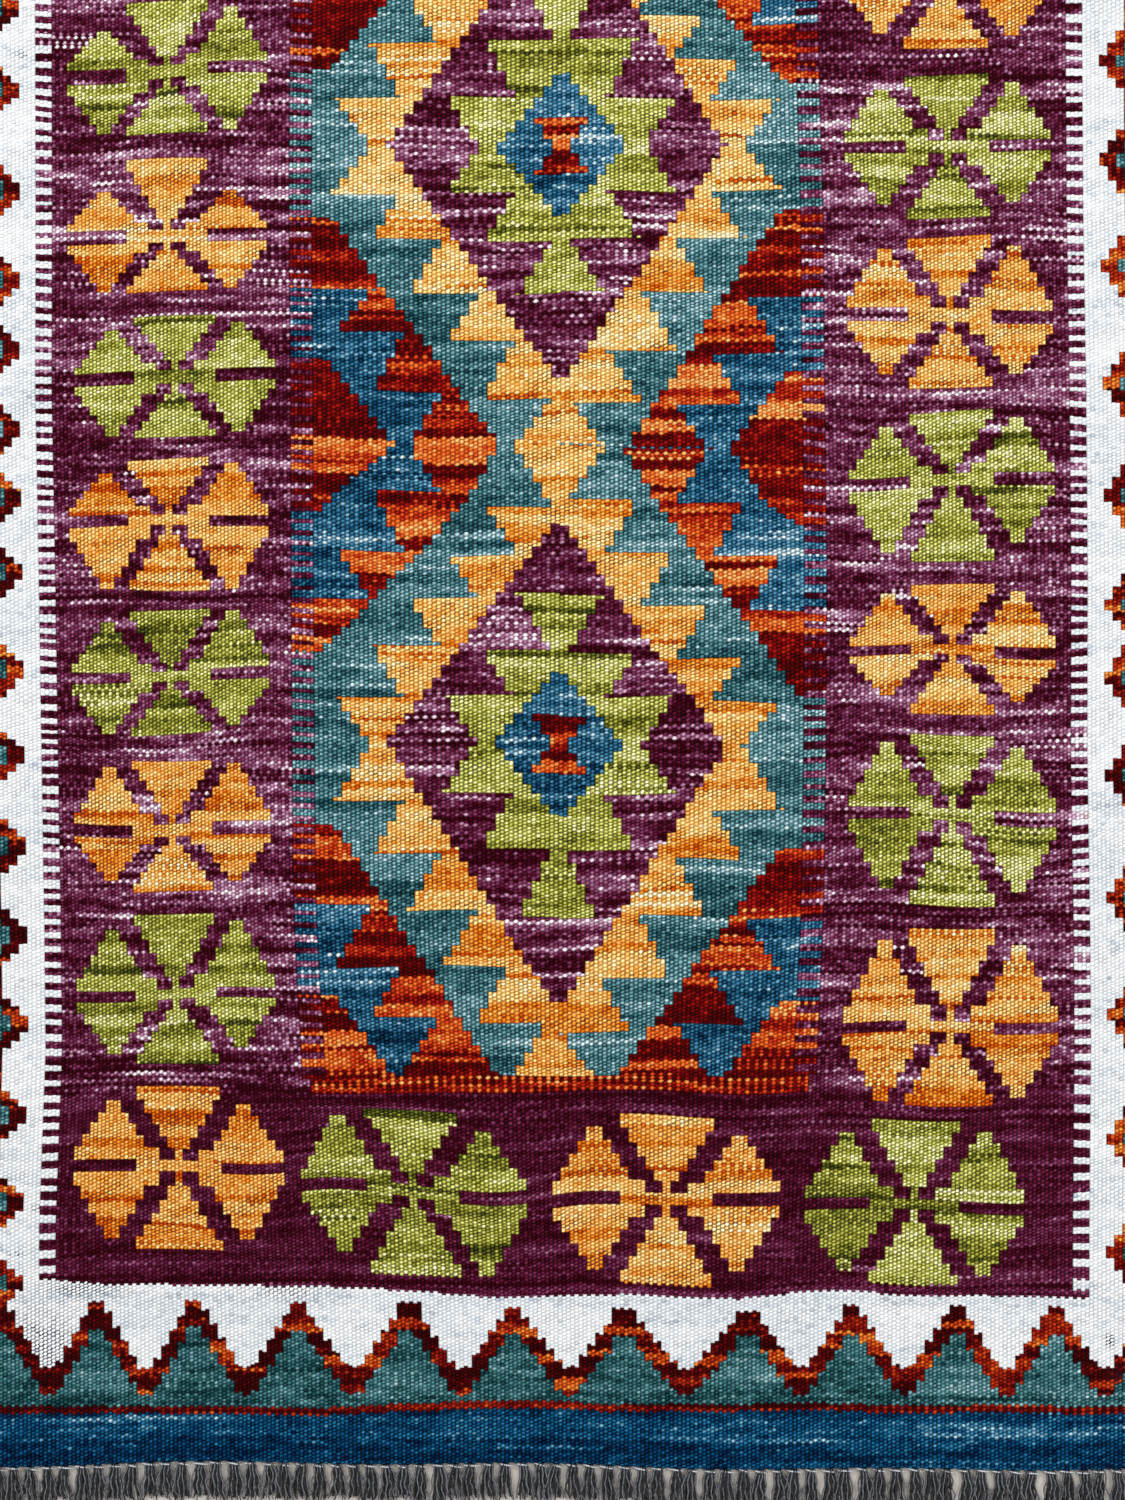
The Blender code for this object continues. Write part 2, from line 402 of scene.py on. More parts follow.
# %% The wheels' levels and places
HUB = 3.6  # half the height of the bar through the middle, in mm
UPRIGHT = [0, 1, 2, 3, 4, 5]  # the farthest pair of an upright petal, from the hub out
SIDE_FROM = [3, 5, 6, 7, 8]
SIDE_TO = [13, 12, 11, 10, 9]
BAR_REACH = 5
WHEELS = [  # dye, mm across, (top, middle, bottom), tilt, side petals' lateness in mm
    ("apricot", -89.1, (509.1, 458.0, 407.5), 0.02, (6, 9, 3, 8)),
    ("green", 61.7, (509.1, 458.0, 407.5), -0.03, (9, 8, 6, 6)),
    ("apricot", 214.3, (509.1, 458.0, 407.5), 0.0, (7, 9, 8, 3)),
    ("green", -244.7, (498.1, 448.3, 398.4), 0.03, (8, 4, 2, 6)),
    ("apricot", -242.9, (381.4, 329.7, 284.1), 0.03, (9, 5, 4, 2)),
    ("green", 228.2, (397.2, 366.2, 336.8), 0.02, (8, 6, 8, 3)),
    ("apricot", 233.2, (325.5, 284.1, 242.2), 0.0, (6, 6, 8.4, 8.4)),
    ("green", -241.7, (270.7, 228.2, 189.9), 0.066, (16, 4.4, 1.5, 2)),
    ("apricot", -240.2, (174.7, 127.9, 94.4), 0.033, (17.5, 17.5, 1.5, 1.5)),
    ("green", -238.0, (80.4, 42.1, 6.3), 0.057, (7.3, 4.4, 2, 3)),
    ("apricot", -238.6, (-6.5, -44.8, -85.5), 0.033, (6.5, 4.4, 0, 0)),
    ("green", -237.7, (-98.9, -139.0, -173.7), 0.066, (6, 3, 2, 2)),
    ("apricot", -236.5, (-190.1, -231.5, -270.4), 0.017, (5, 3, 8, 5)),
    ("green", -234.7, (-283.8, -332.4, -375.0), 0.02, (9, 4.5, 6.4, 10)),
    ("apricot", -233.5, (-388.9, -438.2, -489.3), -0.042, (8, 10, 7, 9)),
    ("green", 234.4, (228.2, 182.6, 139.4), 0.011, (9, 6.6, 8.4, 9.4)),
    ("apricot", 235.6, (128.5, 80.4, 36.1), -0.023, (6.6, 6.6, 7.5, 7.5)),
    ("green", 236.8, (20.9, -19.9, -69.1), 0.053, (6.3, 4.7, 5.5, 9.5)),
    ("apricot", 236.8, (-83.7, -123.8, -161.5), 0.0, (4, 4, 10, 7)),
    ("green", 235.0, (-173.7, -223.6, -278.3), -0.032, (6.6, 8, 8.4, 8.4)),
    ("apricot", 236.8, (-293.5, -352.5, -399.3), 0.0, (6.6, 9.4, 1, 3.8)),
    ("green", -89.1, (-403.5, -451.6, -503.8), -0.11, (5.7, 9.5, 13, 1.4)),
    ("apricot", 61.7, (-407.2, -457.0, -508.7), -0.024, (7, 9.5, 8, 9.5)),
    ("green", 214.3, (-407.8, -461.3, -508.1), -0.024, (9.5, 8, 6.6, 5.7)),
]


def level_of(up, reach, count):
    """Which of a petal's levels a row belongs to, from the hub out."""
    return np.floor((np.abs(up) - HUB) / (reach - HUB) * count).astype(int)


def in_petal(level, pairs, first, last):
    """True where a level exists and the pair is from the first to the last of it."""
    real = (level >= 0) & (level < len(last))
    level = np.clip(level, 0, len(last) - 1)
    return real & (pairs >= np.array(first)[level]) & (pairs <= np.array(last)[level])


def paint_wheel(dye, x, heights, tilt, late):
    top, middle, bottom = heights
    row = int(np.argmin(np.abs(STRAIGHT_Y[0] - middle)))
    hub_pair = int(np.argmin(np.abs(PAIR_X[:, row] - x)))
    out = PAIR_NUMBER - hub_pair
    pairs = np.abs(out)
    up = ROW_Y - middle
    reach = np.where(up > 0, top - middle, middle - bottom)
    late_up = np.where(out < 0, late[0], late[1])
    late_down = np.where(out < 0, late[2], late[3])
    side_reach = reach - np.where(up > 0, late_up, late_down)
    upright = in_petal(level_of(up, reach, len(UPRIGHT)), pairs, [0] * len(UPRIGHT), UPRIGHT)
    sides = in_petal(level_of(up, side_reach, len(SIDE_TO)), pairs, SIDE_FROM, SIDE_TO)
    bar = (np.abs(up) <= HUB) & (pairs <= BAR_REACH)
    paint(upright | sides | bar, dye)


for wheel in WHEELS:
    paint_wheel(*wheel)
print(len(WHEELS), "wheels, and plum is left on", covered("plum"), "%")

# %% [markdown]
# ### The middle panel
#
# Two great diamonds stand one over the other, and both are charted outwards from their
# own middle: a blue core, a toothed green figure, the plum diamond, a toothed apricot band,
# a teal ground, and in the corners toothed rust on blue. A toothed edge widens pair by pair
# up to a corner, falls back by a tooth, and widens again. Each quarter has its own lists of
# corners, for the weaver fitted each to the rows that were left.

# %% The panel's quarters, as places (away from the diamond's middle, out from the axis) in mm
TOOTH = 41.3
CROSSING = 1.5  # between the two diamonds
STRIPES_FROM = 381.6
PANEL_END = 392.6
QUARTERS = [
    {
        "side": -1,
        "rows": (-179.8, -PANEL_END),
        "plum": (104.0, 162.9),
        "apricot": [
            (0, 114.3), (34.7, 136.2), (67.5, 113.1), (102.1, 91.2),
            (136.2, 71.1), (170.2, 50.5), (202.5, 28.0),
        ],
        "teal": [(49.2, 136.2), (202.5, 37.7)],
        "rust": [(97.9, 114.3), (136.8, 136.2), (166.0, 113.7), (202.5, 96.1)],
        "corner": [(152.6, 136.2), (201.2, 102.1)],
    },
    {
        "side": 1,
        "rows": (-181.0, -PANEL_END),
        "plum": (102.1, 161.7),
        "apricot": [
            (0, 113.1), (40.7, 135.3), (69.9, 112.5), (102.8, 89.4),
            (141.1, 66.9), (173.9, 42.6), (202.5, 22.5),
        ],
        "teal": [(61.4, 135.0), (204.9, 32.8)],
        "rust": [(104.0, 113.1), (138.3, 133.8), (170.0, 112.5), (202.5, 90.6)],
        "corner": [(155.0, 133.8), (201.9, 99.7)],
    },
    {
        "side": -1,
        "rows": (-179.8, CROSSING),
        "plum": (105.5, 137.4),
        "apricot": [
            (0, 115.5), (29.2, 136.8), (60.2, 114.3), (87.6, 91.8),
            (114.9, 66.9), (143.5, 45.6), (180.6, 29.2),
        ],
        "teal": [(49.2, 150.2), (145.9, 58.4), (180.6, 37.7)],
        "rust": [(87.6, 115.5), (117.3, 135.6), (152.6, 113.7), (180.6, 91.2)],
        "corner": [(136.2, 151.4), (181.8, 102.1)],
    },
    {
        "side": 1,
        "rows": (-181.0, CROSSING),
        "plum": (100.9, 137.4),
        "apricot": [
            (0, 111.3), (24.9, 133.8), (52.9, 111.9), (85.1, 91.2),
            (116.7, 68.7), (150.8, 46.8), (180.6, 28.0),
        ],
        "teal": [(31.6, 145.3), (147.7, 59.6), (180.6, 38.3)],
        "rust": [(82.1, 114.3), (114.3, 134.4), (147.7, 111.0), (180.6, 90.6)],
        "corner": [(133.2, 147.7), (147.7, 124.6), (180.6, 103.4)],
    },
    {
        "side": -1,
        "rows": (183.2, CROSSING),
        "plum": (105.8, 145.3),
        "apricot": [
            (0, 115.5), (29.8, 140.4), (57.2, 114.3), (88.8, 91.8),
            (119.2, 69.9), (152.6, 47.4), (181.8, 26.1),
        ],
        "teal": [(44.4, 139.8), (180.6, 37.7)],
        "rust": [(86.3, 114.3), (114.9, 137.4), (148.4, 113.7), (181.8, 91.2)],
        "corner": [(130.4, 142.9), (178.8, 102.8)],
    },
    {
        "side": 1,
        "rows": (183.8, CROSSING),
        "plum": (99.7, 145.9),
        "apricot": [
            (0, 110.0), (26.8, 132.9), (56.5, 111.0), (88.8, 90.0),
            (124.6, 70.2), (156.3, 48.6), (186.0, 28.6),
        ],
        "teal": [(38.3, 133.8), (66.3, 115.5), (186.7, 38.3)],
        "rust": [(92.1, 112.5), (126.8, 133.8), (157.5, 111.0), (186.0, 90.6)],
        "corner": [(138.0, 137.4), (186.0, 102.8)],
    },
    {
        "side": -1,
        "rows": (183.2, PANEL_END),
        "plum": (105.8, 152.0),
        "apricot": [
            (0, 115.5), (29.2, 139.5), (62.0, 116.1), (90.0, 93.0),
            (121.6, 71.1), (155.6, 49.2), (198.2, 30.4),
        ],
        "teal": [(46.2, 141.7), (88.8, 106.4), (198.2, 36.5)],
        "rust": [(91.2, 114.3), (124.6, 136.2), (155.0, 113.7), (198.2, 96.1)],
        "corner": [(145.9, 136.2), (198.2, 100.9)],
    },
    {
        "side": 1,
        "rows": (183.8, PANEL_END),
        "plum": (99.7, 152.0),
        "apricot": [
            (0, 110.0), (28.0, 131.3), (52.3, 108.2), (78.4, 86.3),
            (113.1, 66.9), (149.6, 46.2), (198.2, 28.0),
        ],
        "teal": [(35.3, 142.9), (41.3, 131.9), (88.8, 93.0), (198.2, 34.0)],
        "rust": [(73.6, 114.3), (109.4, 135.0), (145.9, 112.5), (198.2, 90.6)],
        "corner": [(145.9, 133.8), (198.2, 100.9)],
    },
]
GREEN = {
    "towards crossing": [(0, 50.5), (28.6, 69.9), (56.5, 46.8), (90.6, 26.1)],
    "towards end": [(0, 50.5), (29.8, 69.9), (64.4, 46.2), (105.8, 24.3)],
}
CORE = (39.5, 46.5)  # the blue core's half width and half height
HOURGLASS = {"waist": 5.0, "foot": 16.5, "height": 17.2}


PAIR_AXIS = warp_place(MIDDLE_PAIR, STRAIGHT_Y)
IN_PANEL = (PAIR_NUMBER >= PANEL_COMBS["left"][1]) & (PAIR_NUMBER < PANEL_COMBS["right"][0])


def toothed(away, corners):
    """How far a toothed edge is from the axis. It widens to each corner, then falls back."""
    edge = np.zeros_like(away)
    (last_row, last_reach), *rest = corners
    for row, reach in rest:
        part = (away >= last_row) & (away <= row)
        share = (away - last_row) / (row - last_row)
        edge = np.where(part, last_reach + (reach - last_reach) * share, edge)
        last_row, last_reach = row, reach - TOOTH
    return edge


def straight(away, corners):
    """How far a plain edge is from the axis. Before its first corner it has no end."""
    rows, reaches = zip(*corners)
    return np.where(away < rows[0], np.inf, np.interp(away, rows, reaches))


def paint_quarter(quarter):
    middle, stop = quarter["rows"]
    away = np.abs(ROW_Y - middle)
    out = (PAIR_X - PAIR_AXIS) * quarter["side"]
    here = (ROW_Y >= min(middle, stop)) & (ROW_Y < max(middle, stop)) & (out >= 0) & IN_PANEL
    rust = quarter["rust"]
    in_rust = (away < rust[0][0]) | (out < toothed(away, rust))
    half, height = quarter["plum"]
    green = GREEN["towards crossing" if stop == CROSSING else "towards end"]
    paint(here, "blue")
    paint(here & (in_rust | (out > straight(away, quarter["corner"]))), "rust")
    paint(here & (out < straight(away, quarter["teal"])), "teal")
    paint(here & (out < toothed(away, quarter["apricot"])), "apricot")
    paint(here & (out < half * (1 - away / height)), "plum")
    paint(here & (out < toothed(away, green)), "green")
    paint(here & (out < CORE[0] * (1 - away / CORE[1])), "blue")
    glass = HOURGLASS["waist"] + (HOURGLASS["foot"] - HOURGLASS["waist"]) * away / HOURGLASS["height"]
    paint(here & (away < HOURGLASS["height"]) & (out < glass), "rust")


for quarter in QUARTERS:
    paint_quarter(quarter)
stripes = (PAIR_NUMBER >= PANEL_COMBS["left"][0] + 1) & (PAIR_NUMBER < PANEL_COMBS["right"][1] - 1)
paint(stripes & (np.abs(ROW_Y) > STRIPES_FROM) & (np.abs(ROW_Y) < PANEL_END), "rust")
PANEL_TEETH = {"left": (8.8, 6.9, 0.5, 5), "right": (9.8, 8.4, 0.5, 6)}
for side, (first, last) in PANEL_COMBS.items():
    source = last if side == "left" else first - 1
    rows = teeth(*PANEL_TEETH[side])
    comb = (PAIR_NUMBER >= first) & (PAIR_NUMBER < last) & rows[None, :]
    comb &= np.abs(ROW_Y) < STRIPES_FROM
    chart[comb] = np.broadcast_to(chart[source], chart.shape)[comb]
print("each dye covers, %:", {name: covered(name) for name in DYES})

# %% [markdown]
# ## The yarn and its shades
#
# The yarn was dyed in the hank, so its shade changes along its length. The weaver keeps a
# small bundle of each colour for each block of the pattern, and the shade stays with that
# bundle: two rust blocks side by side band differently. We follow every bundle up the
# loom. It keeps a shade for some rows, then takes another, often in the middle of a row,
# and now and then two bundles take turns, which shows as dotted stripes.

# %% Dye ramps, from the darkest shade to the palest, and how long a shade lasts
RAMPS = {
    "white": ["#b4bec8", "#dbe2e8", "#edf2f5", "#fbfdfe"],
    "plum": ["#3a000f", "#5b1432", "#7c355a", "#a56c8c", "#cfa7c1", "#f7e9f0"],
    "apricot": ["#c24a06", "#e07d16", "#f5a546", "#fdc06a", "#ffd68b", "#ffefc0"],
    "green": ["#424614", "#676a22", "#939438", "#b5b755", "#d3d57f", "#eeeeb6"],
    "rust": ["#4b0103", "#740407", "#a1170d", "#c94017", "#e7742b", "#f6b067"],
    "zigzag rust": ["#3a0003", "#580305", "#85120a", "#b63510", "#d8631e", "#ea963e"],
    "teal": ["#0f3a41", "#28575f", "#46787f", "#65959c", "#8db4bb", "#c0dade"],
    "border teal": ["#093136", "#1e4d52", "#3b6f74", "#5b8e93", "#86aeb4", "#b6d5da"],
    "blue": ["#042945", "#124968", "#2d6988", "#518ba8", "#87b0c5", "#cde3ea"],
    "end blue": ["#001d3e", "#00355b", "#084f77", "#216b92", "#5a95b1", "#a6cbda"],
}
HABITS = {  # shades as (lowest, highest, fewest rows, most rows, weight)
    "white": [(0.5, 0.85, 4, 20, 1)],
    "plum": [(0.1, 0.26, 3, 12, 5), (0.3, 0.46, 2, 8, 4), (0.46, 0.64, 1, 2, 2)],
    "apricot": [(0.48, 0.74, 3, 12, 7), (0.22, 0.4, 1, 5, 6), (0.0, 0.16, 1, 2, 2)],
    "green": [(0.5, 0.76, 3, 12, 6), (0.34, 0.5, 2, 7, 4), (0.04, 0.2, 1, 3, 2)],
    "rust": [(0.05, 0.2, 2, 10, 6), (0.34, 0.48, 2, 6, 4), (0.6, 0.84, 2, 8, 6)],
    "zigzag rust": [(0.05, 0.22, 4, 9, 7), (0.38, 0.55, 3, 8, 4), (0.62, 0.85, 3, 7, 3)],
    "teal": [(0.26, 0.42, 4, 12, 3), (0.44, 0.64, 4, 14, 6), (0.68, 0.8, 1, 4, 1.5)],
    "border teal": [(0.26, 0.44, 4, 16, 3), (0.44, 0.62, 4, 14, 3)],
    "blue": [(0.18, 0.34, 4, 12, 4), (0.36, 0.54, 3, 9, 5), (0.75, 0.95, 1, 1, 1)],
    "end blue": [(0.14, 0.32, 3, 10, 4), (0.34, 0.48, 2, 6, 3)],
}
DOTTED = {"rust": 0.34, "zigzag rust": 0.15, "plum": 0.25, "blue": 0.12, "green": 0.1, "apricot": 0.12}
TURNS = [(0, 0, 1), (0, 1, 1, 0, 0), (0, 0, 0, 1, 1), (0, 0, 1, 0, 1)]  # two bundles in turn
SLUBS = {  # how far the shade strays along a pass, and from bead to bead
    "white": (0.08, 0.16),
    "plum": (0.16, 0.10),
    "apricot": (0.09, 0.09),
    "green": (0.10, 0.09),
    "rust": (0.06, 0.09),
    "zigzag rust": (0.06, 0.09),
    "teal": (0.11, 0.09),
    "border teal": (0.12, 0.08),
    "blue": (0.10, 0.10),
    "end blue": (0.10, 0.09),
}
PARTNER = (0.25, 0.5)  # how far apart the shades of two bundles in turn are
dice = random.Random(11)
noise = np.random.default_rng(11)


class Bundle:
    """One bundle of yarn, with the shade that it shows at this height."""

    def __init__(self, dye):
        self.dye = dye
        self.take()
        self.rows = dice.randint(1, self.rows)

    def take(self):
        """The weaver reaches the next shade of the hank."""
        habits = HABITS[self.dye]
        low, high, fewest, most, _ = dice.choices(habits, [habit[4] for habit in habits])[0]
        self.shade = dice.uniform(low, high)
        self.rows = dice.randint(fewest, most)
        self.turns = dice.choice(TURNS) if dice.random() < DOTTED.get(self.dye, 0) else (0,)
        self.partner = dice.choice((-1, 1)) * dice.uniform(*PARTNER)

    def pass_shade(self, weft):
        return self.shade + self.partner * self.turns[weft % len(self.turns)]

    def weave(self, length, weft):
        """The shades of one pass over this many pairs."""
        shades = np.full(length, self.pass_shade(weft))
        self.rows -= 1
        if self.rows <= 0:
            self.take()
            change = dice.randint(0, length)
            if weft % 2:
                shades[change:] = self.pass_shade(weft)
            else:
                shades[:change] = self.pass_shade(weft)
        return shades


shade = np.zeros((PAIRS, WEFTS))
below = []
for weft in range(WEFTS):
    row = chart[:, weft]
    starts = np.concatenate(([0], np.flatnonzero(np.diff(row)) + 1, [PAIRS]))
    passes = []
    for first, last in zip(starts, starts[1:]):
        dye = DYES[row[first]]
        overlaps = [
            (min(last, after) - max(first, before), index)
            for index, (before, after, bundle) in enumerate(below)
            if bundle.dye == dye and min(last, after) > max(first, before)
        ]
        bundle = below.pop(max(overlaps)[1])[2] if overlaps else Bundle(dye)
        shade[first:last, weft] = bundle.weave(last - first, weft)
        passes.append((first, last, bundle))
    below = passes
print("bundles in the last row:", len(below))

# %% [markdown]
# Some faults of the dye are shorter than a pass: a pale length of yarn shows as a row of
# light dashes. We scatter those. Then we add what the cloth as a whole does: clouds of
# deeper and paler yarn, and a slow drift, which makes the colours paler to the right and
# upwards, but hardly at all in the plum and the outer bands. A few places have a habit of
# their own: the wheels' apricot is deeper than the panel's, the stripe under the panel
# takes turns row by row, and the plum below it is dark and even, but paler towards both
# sides.

# %% Pale dashes, slow changes and chance
FLECKS = {"plum": (1350, 0.27), "end blue": (430, 0.23), "blue": (150, 0.3), "teal": (120, 0.26)}
FLECK_PAIRS = (2, 22)
FLECK_WEFTS = 2
FLECK_SHARE = (0.3, 1)  # of the dye's own strength

for dye, (count, strength) in FLECKS.items():
    pairs, wefts = np.nonzero(chart == NUMBER[dye])
    for pick in noise.integers(0, len(pairs), count):
        first, weft = pairs[pick], wefts[pick]
        last = min(PAIRS, first + dice.randint(*FLECK_PAIRS))
        lift = strength * dice.uniform(*FLECK_SHARE)
        for row in range(weft, min(WEFTS, weft + FLECK_WEFTS)):
            same = chart[first:last, row] == NUMBER[dye]
            shade[first:last, row][same] += lift


WAVE_STRAY = (0.7, 1.4)  # of a wave's size


def waves(x, y, seed, sizes, count=6):
    """A slow random surface from -1 to 1, made of sine waves of about these sizes in mm."""
    chance = np.random.default_rng(seed)
    total = np.zeros(np.broadcast(x, y).shape)
    for _ in range(count):
        turn = chance.uniform(0, 2 * math.pi, 3)
        scale = chance.uniform(*WAVE_STRAY)
        along_x = np.cos(turn[0]) / (sizes[0] * scale)
        along_y = np.sin(turn[0]) / (sizes[1] * scale)
        total += np.sin(2 * math.pi * (x * along_x + y * along_y) + turn[1])
    return total / math.sqrt(count)


KNOT_EVERY = 5  # warps between two changes of a pass's thickness and tone
CLOUDS = [(0.05, 21, (60, 14)), (0.04, 22, (18, 6))]  # amount, seed, sizes in mm
STREAK_LIFT = 0.14  # of plum, in long pale streaks
STREAKS_FROM = 0.5
PALER = (0.06, 0.07)  # how much paler the colours grow to the right, and upwards
PALER_ABOUT = -180  # mm along the rug
PALER_OVER = 450
DRIFTING = {"white": 0.0, "plum": 0.3, "end blue": 0.45, "border teal": 0.6}  # 1 for the others
LIFTS = {"apricot": 0.03, "green": 0.04}
WHEEL_APRICOT = -0.07
IN_TURN = (0.12, 0.5, 0.25)  # the end stripe's lowest shade, its turns and its clouds
LINE_SHARE = 0.7  # of the zigzag's shades, for the thin line past it
QUIET = {"share": 0.42, "lift": 0.01, "sides": 0.04, "half": 300}  # the plum below the panel, paler towards both sides

knots = noise.normal(0, 1, (WEFTS, WARPS // KNOT_EVERY + 2))
warp_at = np.arange(WARPS) / KNOT_EVERY
slub = np.array([np.interp(warp_at, np.arange(len(line)), line) for line in knots]).T
chance = noise.normal(0, 1, (WARPS, WEFTS))
shade += sum(amount * waves(PAIR_X, ROW_Y, seed, sizes) for amount, seed, sizes in CLOUDS)
drift = PALER[0] * PAIR_X / HALF_WIDTH
drift += PALER[1] * np.clip((ROW_Y - PALER_ABOUT) / PALER_OVER, -1, 1)
shade += drift * np.array([DRIFTING.get(name, 1.0) for name in DYES])[chart]
plum = chart == NUMBER["plum"]
streaks = np.maximum(0, waves(PAIR_X, ROW_Y, 23, (70, 9), 9) - STREAKS_FROM)
shade[plum] += STREAK_LIFT * streaks[plum]
for name, lift in LIFTS.items():
    shade[chart == NUMBER[name]] += lift
shade[(chart == NUMBER["apricot"]) & ~IN_PANEL] += WHEEL_APRICOT
below_panel = (np.abs(ROW_Y) > STRIPES_FROM) & (np.abs(ROW_Y) < PANEL_END)
end_stripe = (chart == NUMBER["rust"]) & below_panel
turns = np.arange(WEFTS) % 2
in_turn = IN_TURN[0] + IN_TURN[1] * turns + IN_TURN[2] * waves(PAIR_X, ROW_Y, 24, (90, 3), 5)
shade[end_stripe] = in_turn[end_stripe]
shade[(chart == NUMBER["zigzag rust"]) & (line_y > LINE_Y[0])] *= LINE_SHARE
quiet_plum = plum & (ROW_Y < -PANEL_END)
sides = (PAIR_X[quiet_plum] / QUIET["half"]) ** 2
shade[quiet_plum] = shade[quiet_plum] * QUIET["share"] + QUIET["lift"] + QUIET["sides"] * sides
print("shades from", round(float(shade.min()), 2), "to", round(float(shade.max()), 2))

# %% [markdown]
# ## From shade to colour
#
# A dye ramp is a short list of colours as a screen shows them. A renderer adds and mixes
# light, so it needs linear values, and one function does that change for the whole scene.

# %% Colour of every bead
def linear(code):
    """The linear red, green and blue of a colour written as sRGB hex."""
    parts = [int(code[i : i + 2], 16) / 255 for i in (1, 3, 5)]
    return [part / 12.92 if part <= 0.04045 else ((part + 0.055) / 1.055) ** 2.4 for part in parts]


def dyed(numbers, shades):
    """The colour of each bead from its dye's number and its shade."""
    colours = np.ones((*numbers.shape, 4), np.float32)
    for name, ramp in RAMPS.items():
        steps = np.linspace(0, 1, len(ramp))
        stops = np.array([linear(code) for code in ramp])
        mine = numbers == NUMBER[name]
        for channel in range(3):
            colours[mine, channel] = np.interp(shades[mine], steps, stops[:, channel])
    return colours


PAINTED_SHADING = {  # how deep the painted shadow in the gaps round a bead, and the painted highlight on it, are; 1 for the others
    "white": 0.45,
    "plum": 0.85,
    "apricot": 0.88,
    "rust": 0.85,
    "zigzag rust": 0.85,
    "border teal": 0.85,
}
QUIET_CHANCE = 0.5
# how far each bead's painted shade and highlight stray from its dye's own depth
PAINTED_SHADING_STRAY = (0.75, 1.25)
bead_pair = np.arange(WARPS) // 2
bead_dye = chart[bead_pair]


def by_dye(values, other):
    """A value for each bead, from a list by dye and one for the dyes that aren't in it."""
    return np.array([values.get(name, other) for name in DYES])[bead_dye]


slub_reach = by_dye({name: reach for name, (reach, _) in SLUBS.items()}, 0)
chance_reach = by_dye({name: reach for name, (_, reach) in SLUBS.items()}, 0)
quiet = np.where(quiet_plum, QUIET_CHANCE, 1.0)[bead_pair]
bead_shade = shade[bead_pair] + (slub_reach * slub + chance_reach * chance) * quiet
bead_colour = dyed(bead_dye, bead_shade)
bead_painted_shading = noise.uniform(*PAINTED_SHADING_STRAY, (WARPS, WEFTS)).astype(np.float32)
bead_painted_shading *= by_dye(PAINTED_SHADING, 1.0)
print("mean colour:", bead_colour[..., :3].mean(axis=(0, 1)).round(3))

# %% [markdown]
# Where the yarn is thin or the beating was weak, the dark warp shows between two beads. It
# shows most in the apricot, in soft patches. In the white it shows at three loose places,
# and here and there a single bead is missing altogether.

# %% Where the warps show through
BARE = {"apricot": 0.65, "green": 0.5, "white": 0.14, "teal": 0.2, "border teal": 0.12}
PATCHES_FROM = -0.15
PATCHES_OVER = 1.1
BARE_STRAY = (0.5, 1.3)
LOOSE = [  # places in the white, their reaches in mm and how loose they are
    (-318, -548, 24, 22, 1.2),
    (-292, -511, 22, 7, 1.3),
    (-166, -513, 24, 5, 0.8),
]
FLAW = 2.5
FLAWS = [  # single dark beads, as places and reaches in mm
    (-329.8, 240.3, 2.6, 1.6),
    (-320.1, -463.7, 2.6, 1.2),
    (-331.1, -488.7, 4.0, 0.8),
    (333.5, -542.8, 2.2, 3.5),
    (335.9, -565.9, 2.2, 5.0),
    (-68.4, -95.9, 2.6, 1.0),
    (-95.8, -130.5, 2.6, 1.0),
]


def spot(x, y, wide, high):
    """1 in the middle of a spot of the cloth, and less away from it."""
    return np.exp(-(((PAIR_X - x) / wide) ** 2) - ((ROW_Y - y) / high) ** 2)


patchy = smooth((waves(PAIR_X, ROW_Y, 41, (34, 16), 9) - PATCHES_FROM) / PATCHES_OVER)
bare = np.array([BARE.get(name, 0) for name in DYES])[chart] * patchy
white = chart == NUMBER["white"]
for *place, amount in LOOSE:
    bare = bare + np.where(white, amount * spot(*place), 0)
for flaw in FLAWS:
    bare = bare + FLAW * spot(*flaw)
bead_bare = (bare[bead_pair] * noise.uniform(*BARE_STRAY, (WARPS, WEFTS))).clip(0, 1)
print("share of beads with a warp in sight:", round(float((bead_bare > 0.5).mean()), 3))

# %% [markdown]
# ## Laying the beads
#
# Each warp carries a column of beads. The next warp's beads sit half a bead higher, as the
# weft that passes over one warp passes under the next. A column is a ribbon with a crest
# along its middle and a valley at both sides, and a bead is two faces of it, left and
# right of the crest. Where two dyes meet along a row, both warps' beads lie almost in line,
# but for the scalloped edges near the ends. The rows aren't straight: the weaver's beating
# curves them, so we move them in slow waves, and the pattern goes with them.

# %% Vertices of all columns
BEADS = WEFTS // 2
CREST = 0.08  # mm above the cloth's upper face
VALLEY = 0.40  # mm below it
SWAY = 1.25  # mm that a row strays
SELVEDGE_DROP = 1.5  # mm, where the weft turns back round the last warp
STRAIGHTEN = 0.38  # of a weft's pitch, by which a change of dye pushes its beads into line
SCALLOPED_FROM = 500.0  # mm from the middle, past which edges stay scalloped
SWAY_FADE = 150.0  # mm from an end, over which the sway fades
TILT_REACH = (78.0, 48.0)  # mm across and along, over which a wheel's tilt fades

column = np.arange(WARPS)
own = column[:, None]
bound = np.arange(BEADS + 1)
bound_weft = 2 * bound[None, :] - 1 + (column % 2)[:, None]
bound_y = weft_place(bound_weft)
first_weft = bound_weft[:, 1:-1] - 1
lower_dye, upper_dye = bead_dye[own, first_weft], bead_dye[own, first_weft + 2]
between = np.where(bead_dye[own, first_weft + 1] == lower_dye, 1, -1) * STRAIGHTEN
straight_edge = (lower_dye != upper_dye) & (np.abs(bound_y[:, 1:-1]) <= SCALLOPED_FROM)
bound_y[:, 1:-1] += np.where(straight_edge, between, 0) * WEFT_PITCH
bound_y = np.clip(bound_y, -HALF_LENGTH, HALF_LENGTH)


